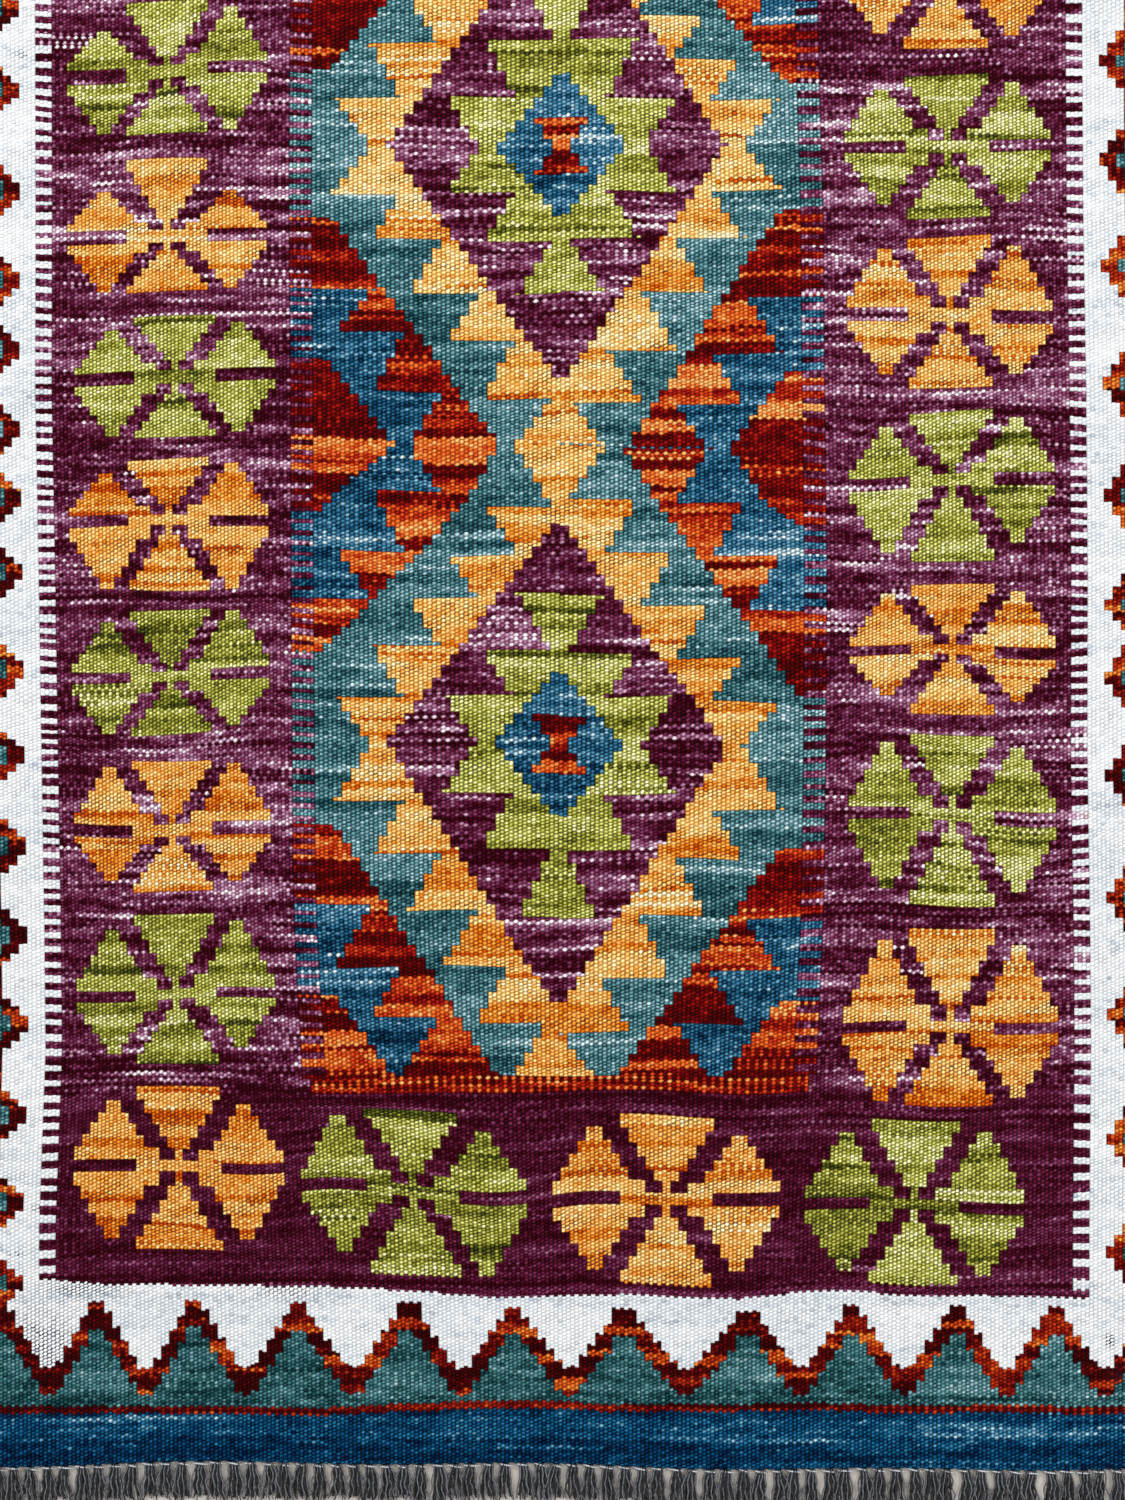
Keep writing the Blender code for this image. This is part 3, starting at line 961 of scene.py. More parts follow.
def sway(x, y):
    """How far a row strays, in mm: slow waves of its own, and the tilt of each wheel."""
    total = SWAY * waves(x, y, 31, (95, 60))
    for _, wheel_x, (_, middle, _), tilt, _ in WHEELS:
        across = (x - wheel_x) / TILT_REACH[0]
        along = (y - middle) / TILT_REACH[1]
        total += tilt * (x - wheel_x) * np.exp(-(across**4) - along**4)
    return total * smooth((HALF_LENGTH - np.abs(y)) / SWAY_FADE)


def on_cloth(pair, y, drop):
    """Points on the rug, in metres, for a count of pairs, a row's height and a depth in mm."""
    x = warp_place(pair, y)
    x_rows = row_place(x, y)
    place_y = x_rows + sway(x, x_rows)
    height = CLOTH_THICKNESS + swell(x * MM, place_y * MM) - drop * MM
    return np.stack([x * MM, place_y * MM, height + np.zeros_like(x)], axis=-1)


line_pair = (column[:, None, None] + np.array([0, 0.5, 1])[None, None, :]) / 2
line_drop = np.array([VALLEY, -CREST, VALLEY])[None, None, :] + np.zeros((WARPS, BEADS + 1, 1))
line_drop[0, :, 0] = SELVEDGE_DROP
line_drop[-1, :, 2] = SELVEDGE_DROP
line_pair = line_pair + np.zeros_like(line_drop)
line_up = bound_y[:, :, None] + np.zeros_like(line_drop)
points = on_cloth(line_pair, line_up, line_drop)
print("points on the columns:", points.size // 3)

# %% [markdown]
# The beads go into five pieces, so that none is too heavy to reuse: the middle panel, the
# field with its wheels in two halves, and the border in two halves.

# %% Pieces of woven beads
first_corner = (column[:, None] * (BEADS + 1) + np.arange(BEADS)[None, :]) * 3
bead_weft = 2 * np.arange(BEADS)[None, :] + (column % 2)[:, None]
bead_y = weft_place(bead_weft)
bead_pairs = bead_pair[:, None] + np.zeros((1, BEADS), int)
FIELD_TO = 517  # mm from the middle
UV_MARGIN = 0.002


def mesh_from(name, verts, faces):
    """A mesh from arrays of points and of four-cornered faces, shaded smooth."""
    mesh = bpy.data.meshes.new(name)
    mesh.vertices.add(len(verts))
    mesh.vertices.foreach_set("co", verts.astype(np.float32).ravel())
    mesh.loops.add(faces.size)
    mesh.loops.foreach_set("vertex_index", faces.astype(np.int32).ravel())
    mesh.polygons.add(len(faces))
    mesh.polygons.foreach_set("loop_start", np.arange(0, faces.size, 4, dtype=np.int32))
    mesh.update(calc_edges=True)
    mesh.shade_smooth()
    return mesh


def add_uv(mesh, name, corners):
    layer = mesh.uv_layers.new(name=name)
    layer.uv.foreach_set("vector", corners.astype(np.float32).ravel())


def add_faces_value(mesh, name, kind, values):
    attribute = mesh.attributes.new(name, kind, "FACE")
    field = "color" if kind == "FLOAT_COLOR" else "value"
    attribute.data.foreach_set(field, values.astype(np.float32).ravel())


def put(name, mesh, material):
    mesh.materials.append(material)
    made = bpy.data.objects.new(name, mesh)
    bpy.context.scene.collection.objects.link(made)
    return made


def flat_uv(verts, faces):
    """Every corner's place in the piece's own box, seen from above."""
    flat = verts[:, :2]
    low, high = flat.min(axis=0), flat.max(axis=0)
    return ((flat - low) / (high - low) * (1 - 2 * UV_MARGIN) + UV_MARGIN)[faces]


def beside(step, up):
    """The colours of the beads one warp aside and one weft up, where the dye is the same."""
    warp = np.clip(own + step, 0, WARPS - 1)
    weft = np.clip(bead_weft + up, 0, WEFTS - 1)
    same = bead_dye[warp, weft] == bead_dye[own, bead_weft]
    return np.where(same[..., None], bead_colour[warp, weft], bead_colour[own, bead_weft])


def slit_at(step):
    """True where the next warp carries another dye in the same pass, for there is a slit."""
    warp = np.clip(own + step, 0, WARPS - 1)
    return bead_dye[warp, bead_weft] != bead_dye[own, bead_weft]


def bead_mesh(name, here):
    """A mesh of the beads where here is true."""
    base = first_corner[here]
    left = np.stack([base, base + 1, base + 4, base + 3], axis=-1)
    right = left + 1
    faces = np.stack([left, right], axis=1).reshape(-1, 4)
    used, faces = np.unique(faces, return_inverse=True)
    faces = faces.reshape(-1, 4)
    verts = points.reshape(-1, 3)[used]
    mesh = mesh_from(name, verts, faces)
    add_uv(mesh, "OFBake", flat_uv(verts, faces))
    left_uv = np.array([(0, 0), (0.5, 0), (0.5, 1), (0, 1)])
    bead_uv = np.stack([left_uv, left_uv + (0.5, 0)])
    add_uv(mesh, "bead", np.tile(bead_uv.reshape(-1, 2), (len(base), 1)))
    colours = {
        "dye": (bead_colour[own, bead_weft], bead_colour[own, bead_weft]),
        "dye above": (beside(-1, 1), beside(1, 1)),
        "dye below": (beside(-1, -1), beside(1, -1)),
    }
    for layer, sides in colours.items():
        both = np.stack([side[here] for side in sides], axis=1)
        add_faces_value(mesh, layer, "FLOAT_COLOR", both.reshape(-1, 4))
    # how deep each bead's painted shadow and highlight are
    add_faces_value(mesh, "painted_light_depth", "FLOAT", np.repeat(bead_painted_shading[own, bead_weft][here], 2))
    add_faces_value(mesh, "bare", "FLOAT", np.repeat(bead_bare[own, bead_weft][here], 2))
    slits = np.stack([slit_at(-1)[here], slit_at(1)[here]], axis=1)
    add_faces_value(mesh, "slit", "FLOAT", slits.reshape(-1))
    return mesh


in_middle = (bead_pairs >= PANEL_COMBS["left"][1]) & (bead_pairs < PANEL_COMBS["right"][0])
in_middle &= np.abs(bead_y) < PANEL_END
in_field = (bead_pairs >= COMBS["left"][0]) & (bead_pairs < COMBS["right"][1])
in_field &= (np.abs(bead_y) < FIELD_TO) & ~in_middle
WOVEN = {
    "kilim_panel": in_middle,
    "kilim_field_front": in_field & (bead_y < 0),
    "kilim_field_back": in_field & (bead_y >= 0),
    "kilim_border_front": ~in_middle & ~in_field & (bead_y < 0),
    "kilim_border_back": ~in_middle & ~in_field & (bead_y >= 0),
}
for name, here in WOVEN.items():
    print(name, int(here.sum()) * 4, "triangles")

# %% [markdown]
# ## The wool of the cloth
#
# The beads are soft and matt. Their wool is hand-spun, and fine fibres run slantwise along
# the yarn. Light and shade are painted into the beads' colour: a painted highlight on each
# bead's crest, where a few fibres catch the light, and a painted shadow between two beads,
# where the yarn dives down. We build that from each bead's own two measures, across the warp
# and along it, so the painted shadow lies where the weave puts it. Each bead is an oval that
# leans a little, and its neighbours' ovals lap over its corners, so it needs their colours
# too. Along a slit, and in the valley between two warps, the painted shadow is deeper. A
# picture of wool laid over the rug would ignore the beads.

# %% Small functions for nodes
def node(tree, kind, settings=(), **links):
    """Adds a node. Settings are for the node, and links are for its inputs, by name or number."""
    made = tree.nodes.new(kind)
    for key, value in dict(settings).items():
        setattr(made, key, value)
    for key, value in links.items():
        index = key[1:]
        socket = made.inputs[int(index) if index.isdigit() else key]
        if isinstance(value, bpy.types.NodeSocket):
            tree.links.new(value, socket)
        else:
            socket.default_value = value
    return made


def maths(tree, operation, *values, clamp=False):
    links = {f"i{i}": value for i, value in enumerate(values)}
    settings = {"operation": operation, "use_clamp": clamp}
    return node(tree, "ShaderNodeMath", settings, **links).outputs[0]


def new_material(name):
    material = bpy.data.materials.new(name)
    material.use_nodes = True
    return material, material.node_tree, material.node_tree.nodes["Principled BSDF"]


def noise_texture(tree, place, scale, detail=3.0, rough=0.6):
    made = node(tree, "ShaderNodeTexNoise", Vector=place, Scale=scale, Detail=detail, Roughness=rough)
    return made.outputs["Fac"]


def stretched(tree, source, turn, scale):
    """A place turned about Z and stretched, for a noise that runs along a yarn."""
    made = node(tree, "ShaderNodeMapping", i0=source, Rotation=(0, 0, turn), Scale=scale)
    return made.outputs[0]


def mix(tree, kind, share, first, second):
    settings = {"data_type": "RGBA", "blend_type": kind}
    return node(tree, "ShaderNodeMix", settings, i0=share, i6=first, i7=second).outputs[2]


def eased(tree, value, low, high):
    """0 below the low value and 1 above the high one, with a soft change between."""
    settings = {"interpolation_type": "SMOOTHSTEP"}
    return node(tree, "ShaderNodeMapRange", settings, i0=value, i1=low, i2=high).outputs[0]


def attribute(tree, name, output):
    return node(tree, "ShaderNodeAttribute", {"attribute_name": name}).outputs[output]


# %% The woven wool
BEAD_REACH = 0.7  # of the distance between two warps, from a bead's middle to its tip
BEAD_TALL = 1.05
SLANT = 0.45  # how far a bead's tips lie up and down, for the twist tilts the yarn
WOBBLE = 0.7  # how far a bead's outline strays
YARN_STRAY = 0.25
SOFT_CORNER = 0.1
RIB_SHADE = 0.9  # how much darker the valley between two warps is
SLIT_SHADE = 12.0
SHADOW_AT = (0.3, 1.1)  # from a bead's middle, where the shadow begins and is full
# the painted highlight on a bead's crest: where it fades out, how much it lightens the dye, and where
# the fibres carry it
SHINE_TO = 0.75
SHINE = 1.1
FIBRES_SHINE = (0.25, 0.65)
WARP_AT = (0.75, 1.05)
# the colour of the painted shadow: the dye raised to a power, which deepens it, and darkened by a tint
SHADE_GAMMA = 1.5
SHADE_TINT = (0.36, 0.33, 0.33, 1.0)
DARK_WARP = "#1c1a26"
WOBBLE_GRAIN = 380.0  # waves of noise a metre
YARN_GRAIN = 520.0
FIBRE_GRAIN = (700.0, 4200.0, 900.0)  # coarse along the yarn and fine across it
FIBRE_TURN = 0.3
FIBRE_RELIEF = 0.25


def oval(tree, across, along):
    """0 in the middle of a bead, and about 1 where it meets the next one."""
    wide = maths(tree, "DIVIDE", across, BEAD_REACH)
    tall = maths(tree, "MULTIPLY", along, BEAD_TALL)
    wide_square = maths(tree, "MULTIPLY", wide, wide)
    tall_square = maths(tree, "MULTIPLY", tall, tall)
    return maths(tree, "SQRT", maths(tree, "ADD", wide_square, tall_square))


def strayed(tree, value, noise_value, stray):
    """A value moved up or down by a noise, by the stray at the most."""
    by = maths(tree, "MULTIPLY_ADD", noise_value, 2 * stray, -stray)
    return maths(tree, "ADD", value, by)


def finish_wool(tree, shader, colour, relief, fibre, roughness, bump):
    """Joins the colour, the relief and the fibres of a wool to its shader."""
    tree.links.new(colour, shader.inputs["Base Color"])
    tree.links.new(maths(tree, "MULTIPLY_ADD", fibre, *roughness), shader.inputs["Roughness"])
    strength, distance = bump
    raised = node(tree, "ShaderNodeBump", Strength=strength, Distance=distance, Height=relief)
    tree.links.new(raised.outputs[0], shader.inputs["Normal"])
    shader.inputs["Sheen Roughness"].default_value = 0.5


def woven_wool(name):
    material, tree, shader = new_material(name)
    place = node(tree, "ShaderNodeTexCoord").outputs["Object"]
    bead = node(tree, "ShaderNodeUVMap", {"uv_map": "bead"}).outputs[0]
    parts = node(tree, "ShaderNodeSeparateXYZ", i0=bead)
    sideways = maths(tree, "SUBTRACT", parts.outputs[0], 0.5)
    across = maths(tree, "ABSOLUTE", sideways)
    along = maths(tree, "MULTIPLY_ADD", parts.outputs[1], 2.0, -1.0)
    along = maths(tree, "MULTIPLY_ADD", sideways, -SLANT, along)
    along = strayed(tree, along, noise_texture(tree, place, WOBBLE_GRAIN, 1.0, 0.5), WOBBLE)
    from_next = maths(tree, "MULTIPLY_ADD", maths(tree, "SIGN", sideways), SLANT, along)
    mine = oval(tree, across, along)
    next_along = maths(tree, "SUBTRACT", maths(tree, "ABSOLUTE", from_next), 1.0)
    other = oval(tree, maths(tree, "SUBTRACT", 1.0, across), next_along)
    beside = maths(tree, "LESS_THAN", other, mine)
    upper = maths(tree, "GREATER_THAN", from_next, 0.0)
    above = attribute(tree, "dye above", "Color")
    neighbour = mix(tree, "MIX", upper, attribute(tree, "dye below", "Color"), above)
    dye = mix(tree, "MIX", beside, attribute(tree, "dye", "Color"), neighbour)
    edge = maths(tree, "SMOOTH_MIN", mine, other, SOFT_CORNER)
    square = maths(tree, "MULTIPLY", across, across)
    fourth = maths(tree, "MULTIPLY", square, square)
    slit = maths(tree, "MULTIPLY", fourth, attribute(tree, "slit", "Fac"))
    fibre = noise_texture(tree, stretched(tree, place, FIBRE_TURN, FIBRE_GRAIN), 1.0, 3.0, 0.7)
    # painted shade: the valley between two warps, and a slit's side, count as farther from the bead's
    # middle, so they take more painted shadow
    edge = maths(tree, "ADD", edge, maths(tree, "MULTIPLY", square, RIB_SHADE))
    edge = strayed(tree, edge, noise_texture(tree, place, YARN_GRAIN, 2.0, 0.5), YARN_STRAY)
    edge = maths(tree, "MULTIPLY_ADD", slit, SLIT_SHADE, edge)
    # how deep the painted shadow and highlight are on this bead
    painted_depth = attribute(tree, "painted_light_depth", "Fac")
    shadow = maths(tree, "MULTIPLY", eased(tree, edge, *SHADOW_AT), painted_depth, clamp=True)
    # painted highlight: the middle of each bead is lightened, most where the fibre noise is high
    painted_highlight = maths(tree, "SUBTRACT", 1.0, eased(tree, edge, 0.0, SHINE_TO))
    painted_highlight = maths(tree, "MULTIPLY", painted_highlight, painted_depth)
    painted_highlight = maths(tree, "MULTIPLY", painted_highlight, eased(tree, fibre, *FIBRES_SHINE))
    # painted shadow: towards the edges of a bead the dye turns to a deeper, darker copy of itself
    shade_colour = node(tree, "ShaderNodeGamma", i0=dye, i1=SHADE_GAMMA).outputs[0]
    shade_colour = mix(tree, "MULTIPLY", 1.0, shade_colour, SHADE_TINT)
    colour = mix(tree, "MIX", shadow, dye, shade_colour)
    bright = maths(tree, "MULTIPLY_ADD", painted_highlight, SHINE, 1.0)
    scale = {"operation": "SCALE"}
    colour = node(tree, "ShaderNodeVectorMath", scale, i0=colour, Scale=bright).outputs[0]
    bare = attribute(tree, "bare", "Fac")
    warp_shows = maths(tree, "MULTIPLY", eased(tree, edge, *WARP_AT), bare, clamp=True)
    colour = mix(tree, "MIX", warp_shows, colour, (*linear(DARK_WARP), 1.0))
    relief = maths(tree, "SUBTRACT", maths(tree, "MULTIPLY", fibre, FIBRE_RELIEF), edge)
    finish_wool(tree, shader, colour, relief, fibre, roughness=(0.22, 0.76), bump=(0.8, 0.0005))
    shader.inputs["Sheen Weight"].default_value = 0.012
    shader.inputs["Specular IOR Level"].default_value = 0.04
    return material


cloth_wool = woven_wool("weft-faced wool, hank-dyed and hand-spun")
woven = [put(name, bead_mesh(name, here), cloth_wool) for name, here in WOVEN.items()]
print(len(woven), "woven pieces")

# %% [markdown]
# ## The under face and the selvedges
#
# A kilim is the same on both faces, so the side on the floor shows the pattern too. Nobody
# sees its beads from close by, so there one face stands for a pair and a few rows. The
# sides are rounded, where the weft turns back round the outermost warps.

# %% A closed body under the beads
BACK_ROWS = 190
BODY_TOP = 2.1
RINGS = [(0.9, 0.0), (0.0, 0.9), (0.0, 1.6), (0.5, 2.0), (2.6, BODY_TOP)]  # inset, height
# the under face takes a milder painted shade and highlight
BODY_PAINTED_SHADING = 0.6
UNDER_UV = (0.93, 0.97)  # of the piece's picture, for the under face; the rings lie beside it
RING_UV = {"from": 0.935, "step": 0.015, "wide": 0.014, "high": 0.98}


def inset_lines(inset):
    """The places of pairs and rows of a grid that is drawn in by an inset in mm."""
    share_x = 1 - inset / HALF_WIDTH
    share_y = 1 - inset / HALF_LENGTH
    pairs = (np.arange(PAIRS + 1) - PAIRS / 2) * share_x + PAIRS / 2
    rows = np.linspace(-HALF_LENGTH, HALF_LENGTH, BACK_ROWS + 1) * share_y
    return pairs, rows


def rim_line(inset):
    """The body's outline at an inset, in order round the rug, as pairs and heights."""
    pairs, rows = inset_lines(inset)
    front = [(pair, rows[0]) for pair in pairs[:-1]]
    right = [(pairs[-1], row) for row in rows[:-1]]
    back = [(pair, rows[-1]) for pair in pairs[:0:-1]]
    left = [(pairs[0], row) for row in rows[:0:-1]]
    return np.array(front + right + back + left)


def weft_at(y):
    """The number of the weft at a distance along the rug."""
    return np.clip((y + HALF_LENGTH) / WEFT_PITCH, 0, WEFTS - 1).astype(int)


def face_corners(*places):
    """The four corners of every face, from arrays of their places u and v."""
    return np.stack([np.stack(place, axis=-1) for place in places], axis=-2)


def body_mesh(name):
    pairs, rows = inset_lines(RINGS[0][0])
    grid_pair, grid_row = np.meshgrid(pairs, rows)
    under = on_cloth(grid_pair, grid_row, np.zeros_like(grid_row)).reshape(-1, 3)
    under[:, 2] = 0
    width = PAIRS + 1
    cell = (np.arange(BACK_ROWS)[:, None] * width + np.arange(PAIRS)[None, :]).ravel()
    faces = [np.stack([cell, cell + width, cell + width + 1, cell + 1], axis=-1)]
    verts = [under]
    low, high = under[:, :2].min(axis=0), under[:, :2].max(axis=0)
    uvs = [((under[:, :2] - low) / (high - low) * UNDER_UV + UV_MARGIN)[faces[0]]]
    at_weft = weft_at((rows[:-1] + rows[1:]) / 2)
    numbers = [chart[:, at_weft].T.ravel()]
    shades = [shade[:, at_weft].T.ravel()]

    rim_count = 2 * (PAIRS + BACK_ROWS)
    along = np.arange(rim_count)
    after = (along + 1) % rim_count
    rim = [(0, i) for i in range(PAIRS)] + [(i, PAIRS) for i in range(BACK_ROWS)]
    rim += [(BACK_ROWS, i) for i in range(PAIRS, 0, -1)] + [(i, 0) for i in range(BACK_ROWS, 0, -1)]
    lower = np.array([row * width + pair for row, pair in rim])
    outline = rim_line(0)
    at = (np.clip(outline[:, 0], 0, PAIRS - 1).astype(int), weft_at(outline[:, 1]))
    start = along / rim_count * RING_UV["high"]
    stop = (along + 1) / rim_count * RING_UV["high"]
    for level, (inset, height) in enumerate(RINGS[1:]):
        line = rim_line(inset)
        ring = on_cloth(line[:, 0], line[:, 1], np.zeros(rim_count))
        ring[:, 2] = height * MM
        upper = len(under) + level * rim_count + along
        verts.append(ring)
        faces.append(np.stack([lower[along], lower[after], upper[after], upper[along]], axis=-1))
        numbers.append(chart[at])
        shades.append(shade[at])
        left = np.full(rim_count, RING_UV["from"] + RING_UV["step"] * level)
        right = left + RING_UV["wide"]
        uvs.append(face_corners((left, start), (left, stop), (right, stop), (right, start)))
        lower = upper
    faces = np.concatenate(faces)
    mesh = mesh_from(name, np.concatenate(verts), faces)
    add_uv(mesh, "OFBake", np.concatenate(uvs))
    square = np.array([(0, 0), (0, 1), (1, 1), (1, 0)], float)
    add_uv(mesh, "bead", np.tile(square, (len(faces), 1)))
    colours = dyed(np.concatenate(numbers), np.concatenate(shades))
    for layer in ("dye", "dye above", "dye below"):
        add_faces_value(mesh, layer, "FLOAT_COLOR", colours)
    add_faces_value(mesh, "painted_light_depth", "FLOAT", np.full(len(faces), BODY_PAINTED_SHADING))
    for layer in ("bare", "slit"):
        add_faces_value(mesh, layer, "FLOAT", np.zeros(len(faces)))
    return mesh


body = put("kilim_body", body_mesh("kilim_body"), cloth_wool)
print("body faces:", len(body.data.polygons))

# %% [markdown]
# ## The fringe
#
# At each end the warps were cut off and left. A pale twine holds them in small bundles, and
# past it they open into tufts of dark plied wool. Hair particles would make too many loose
# hairs to reuse, so each tuft is ten tubes. Three thick ones lie below and fill it; they are
# dark wool, made near black as painted shade for the shadow inside the tuft. Seven thin ones
# curl over them, a dark and a paler one in turn. The roots are narrow, where the twine grips
# them, and each tuft sweeps a little to one side.

# %% Tubes round paths
CELL = (0.05, 0.95)  # the part of its cell of the piece's picture that a tube takes


def tube_mesh(name, paths, radii, sides, tones):
    """Tubes round paths. The paths are an array of tubes, points and places in mm."""
    tubes, parts, _ = paths.shape
    ahead = np.gradient(paths, axis=1)
    ahead /= np.linalg.norm(ahead, axis=-1, keepdims=True)
    side = np.cross(ahead, np.array([0.0, 0.0, 1.0]))
    side /= np.linalg.norm(side, axis=-1, keepdims=True)
    over = np.cross(side, ahead)
    angle = (np.arange(sides) * 2 * math.pi / sides)[None, None, :, None]
    ring = side[:, :, None, :] * np.cos(angle) + over[:, :, None, :] * np.sin(angle)
    verts = (paths[:, :, None, :] + ring * radii[:, :, None, None]).reshape(-1, 3)
    counts = [np.arange(count) for count in (tubes, parts - 1, sides)]
    tube, part, corner = np.meshgrid(*counts, indexing="ij")
    here = (tube * parts + part) * sides + corner
    beside = (tube * parts + part) * sides + (corner + 1) % sides
    faces = np.stack([here, beside, beside + sides, here + sides], axis=-1).reshape(-1, 4)
    mesh = mesh_from(name, verts * MM, faces)

    across = math.ceil(math.sqrt(tubes))  # tubes side by side in the piece's picture

    def in_cell(cell, share):
        return (cell + share * (CELL[1] - CELL[0]) + CELL[0]) / across

    left = in_cell(tube % across, corner / sides)
    right = in_cell(tube % across, (corner + 1) / sides)
    low = in_cell(tube // across, part / (parts - 1))
    high = in_cell(tube // across, (part + 1) / (parts - 1))
    corners = face_corners((left, low), (right, low), (right, high), (left, high))
    add_uv(mesh, "OFBake", corners.reshape(-1, 2))
    left, right = corner / sides, (corner + 1) / sides
    corners = face_corners((left, part), (right, part), (right, part + 1), (left, part + 1))
    add_uv(mesh, "yarn", corners.reshape(-1, 2))
    add_faces_value(mesh, "tone", "FLOAT", tones[tube])
    return mesh


# %% The tufts' strands, in mm
TUFTS = 80
CORES = 3  # thick strands in the middle of a tuft, near black as painted shade, with thin ones over them
STRANDS = 10
STRAND_PARTS = 11
STRAND_SIDES = 5
ROW_GAP = 0.3
FRINGE_LENGTH = 25.0
TUFT_PITCH = CLOTH_WIDTH / MM / TUFTS
TUFT = {"stray": 0.7, "length": (0.88, 1.02), "root": (1.9, 2.6), "lean": 1.0, "sweep": 1.3}
# The thick cores' low tone is painted shade: it stands for the shadow between the thin strands.
THICK = {"length": (0.82, 0.9), "root": 1.5, "reach": 4.8, "curl": 0.2, "height": 1.0}
THICK |= {"sinks": 0.6, "radius": 1.1, "thins": 0.1, "tone": -0.1}
THIN = {"length": (0.86, 1.03), "reach": (6.0, 7.4), "curl": (0.5, 1.2), "height": (2.0, 2.7)}
THIN |= {"sinks": 0.35, "radius": (0.5, 0.75), "thins": 0.3, "tone": (0.15, 1.2)}
STRAND_LEAN = 0.6
WINDINGS = (1.2, 2.6)  # of a strand's curl over its length
FANNING = 0.7  # below 1, a tuft opens early
TONE_STRAY = (0.75, 1.1)
CURL_ALONG = 0.4  # of the curl's sideways reach
CURL_UP = 0.35
CLEARANCE = 0.02  # above the floor


def strand_paths(end, seed):
    """The paths, radii and tones of the strands at one end of the rug."""
    chance = np.random.default_rng(seed)
    count = TUFTS * STRANDS
    tuft = np.repeat(np.arange(TUFTS), STRANDS)
    core = np.tile(np.arange(STRANDS) < CORES, TUFTS)

    def of_tuft(low, high):
        return np.repeat(chance.uniform(low, high, TUFTS), STRANDS)

    def of_strand(low, high):
        return chance.uniform(low, high, count)

    def thick_or_thin(thick, thin):
        return np.where(core, thick, thin)[:, None]

    def ranks(strands):
        return (np.arange(strands) + 0.5) / strands * 2 - 1

    rank = np.tile(np.concatenate([ranks(CORES), ranks(STRANDS - CORES)]), TUFTS)[:, None]
    middle = TUFT_PITCH * (tuft + 0.5) - HALF_WIDTH + of_tuft(-TUFT["stray"], TUFT["stray"])
    length = FRINGE_LENGTH * of_tuft(*TUFT["length"])[:, None]
    length = length * thick_or_thin(of_strand(*THICK["length"]), of_strand(*THIN["length"]))
    along = np.linspace(0, 1, STRAND_PARTS)[None, :]
    root = rank * thick_or_thin(THICK["root"], of_tuft(*TUFT["root"]))
    reach = thick_or_thin(THICK["reach"], of_strand(*THIN["reach"]))
    lean = of_strand(-STRAND_LEAN, STRAND_LEAN) + of_tuft(-TUFT["lean"], TUFT["lean"])
    spread = rank * reach + lean[:, None]
    sweep = of_tuft(-TUFT["sweep"], TUFT["sweep"])[:, None] * np.sin(math.pi * along)
    curl = thick_or_thin(THICK["curl"], of_strand(*THIN["curl"])) * np.sqrt(along)
    winding = 2 * math.pi * of_strand(*WINDINGS)[:, None] * along
    phase = of_strand(0, 2 * math.pi)[:, None]
    x = root + (spread - root) * along**FANNING + sweep + curl * np.sin(winding + phase)
    y = ROW_GAP + length * along + CURL_ALONG * curl * np.cos(2 * winding + phase)
    z = thick_or_thin(THICK["height"], of_strand(*THIN["height"]))
    z = z - thick_or_thin(THICK["sinks"], THIN["sinks"]) * along**2
    z = z + CURL_UP * curl * np.cos(winding + phase)
    swelling = np.where(core[:, None], 1 - THICK["thins"] * along, 1 - THIN["thins"] * along**3)
    radius = thick_or_thin(THICK["radius"], of_strand(*THIN["radius"])) * swelling
    z = np.maximum(z, radius + CLEARANCE)
    place_x = x + middle[:, None]
    edge_x, edge_y = laid(place_x * MM, np.full_like(place_x, end * CLOTH_LENGTH / 2))
    dark, step = THIN["tone"]
    tones = (dark + step * (np.arange(count) % 2)) * of_strand(*TONE_STRAY)
    # the cores take their low tone, the painted shade inside the tuft
    tones = np.where(core, THICK["tone"], tones)
    return np.stack([edge_x / MM, edge_y / MM + end * y, z], axis=-1), radius, tones


# %% Plied wool
PLY_SHARE = 0.3  # how much the plies, the fibres and the patches add to the tone
FIBRE_SHARE = 0.4
PATCH_SHARE = 0.6
PATCH_LOW = -0.15
CREST_FROM = 0.6  # how steep a strand's side is where the crest's light ends
CREST_LIGHT = (1.3, 0.12)
TONE_LIFT = 0.35
MID_AT = 0.55
STRAND_GRAIN = 3200.0  # waves of noise a metre
PATCH_GRAIN = 260.0


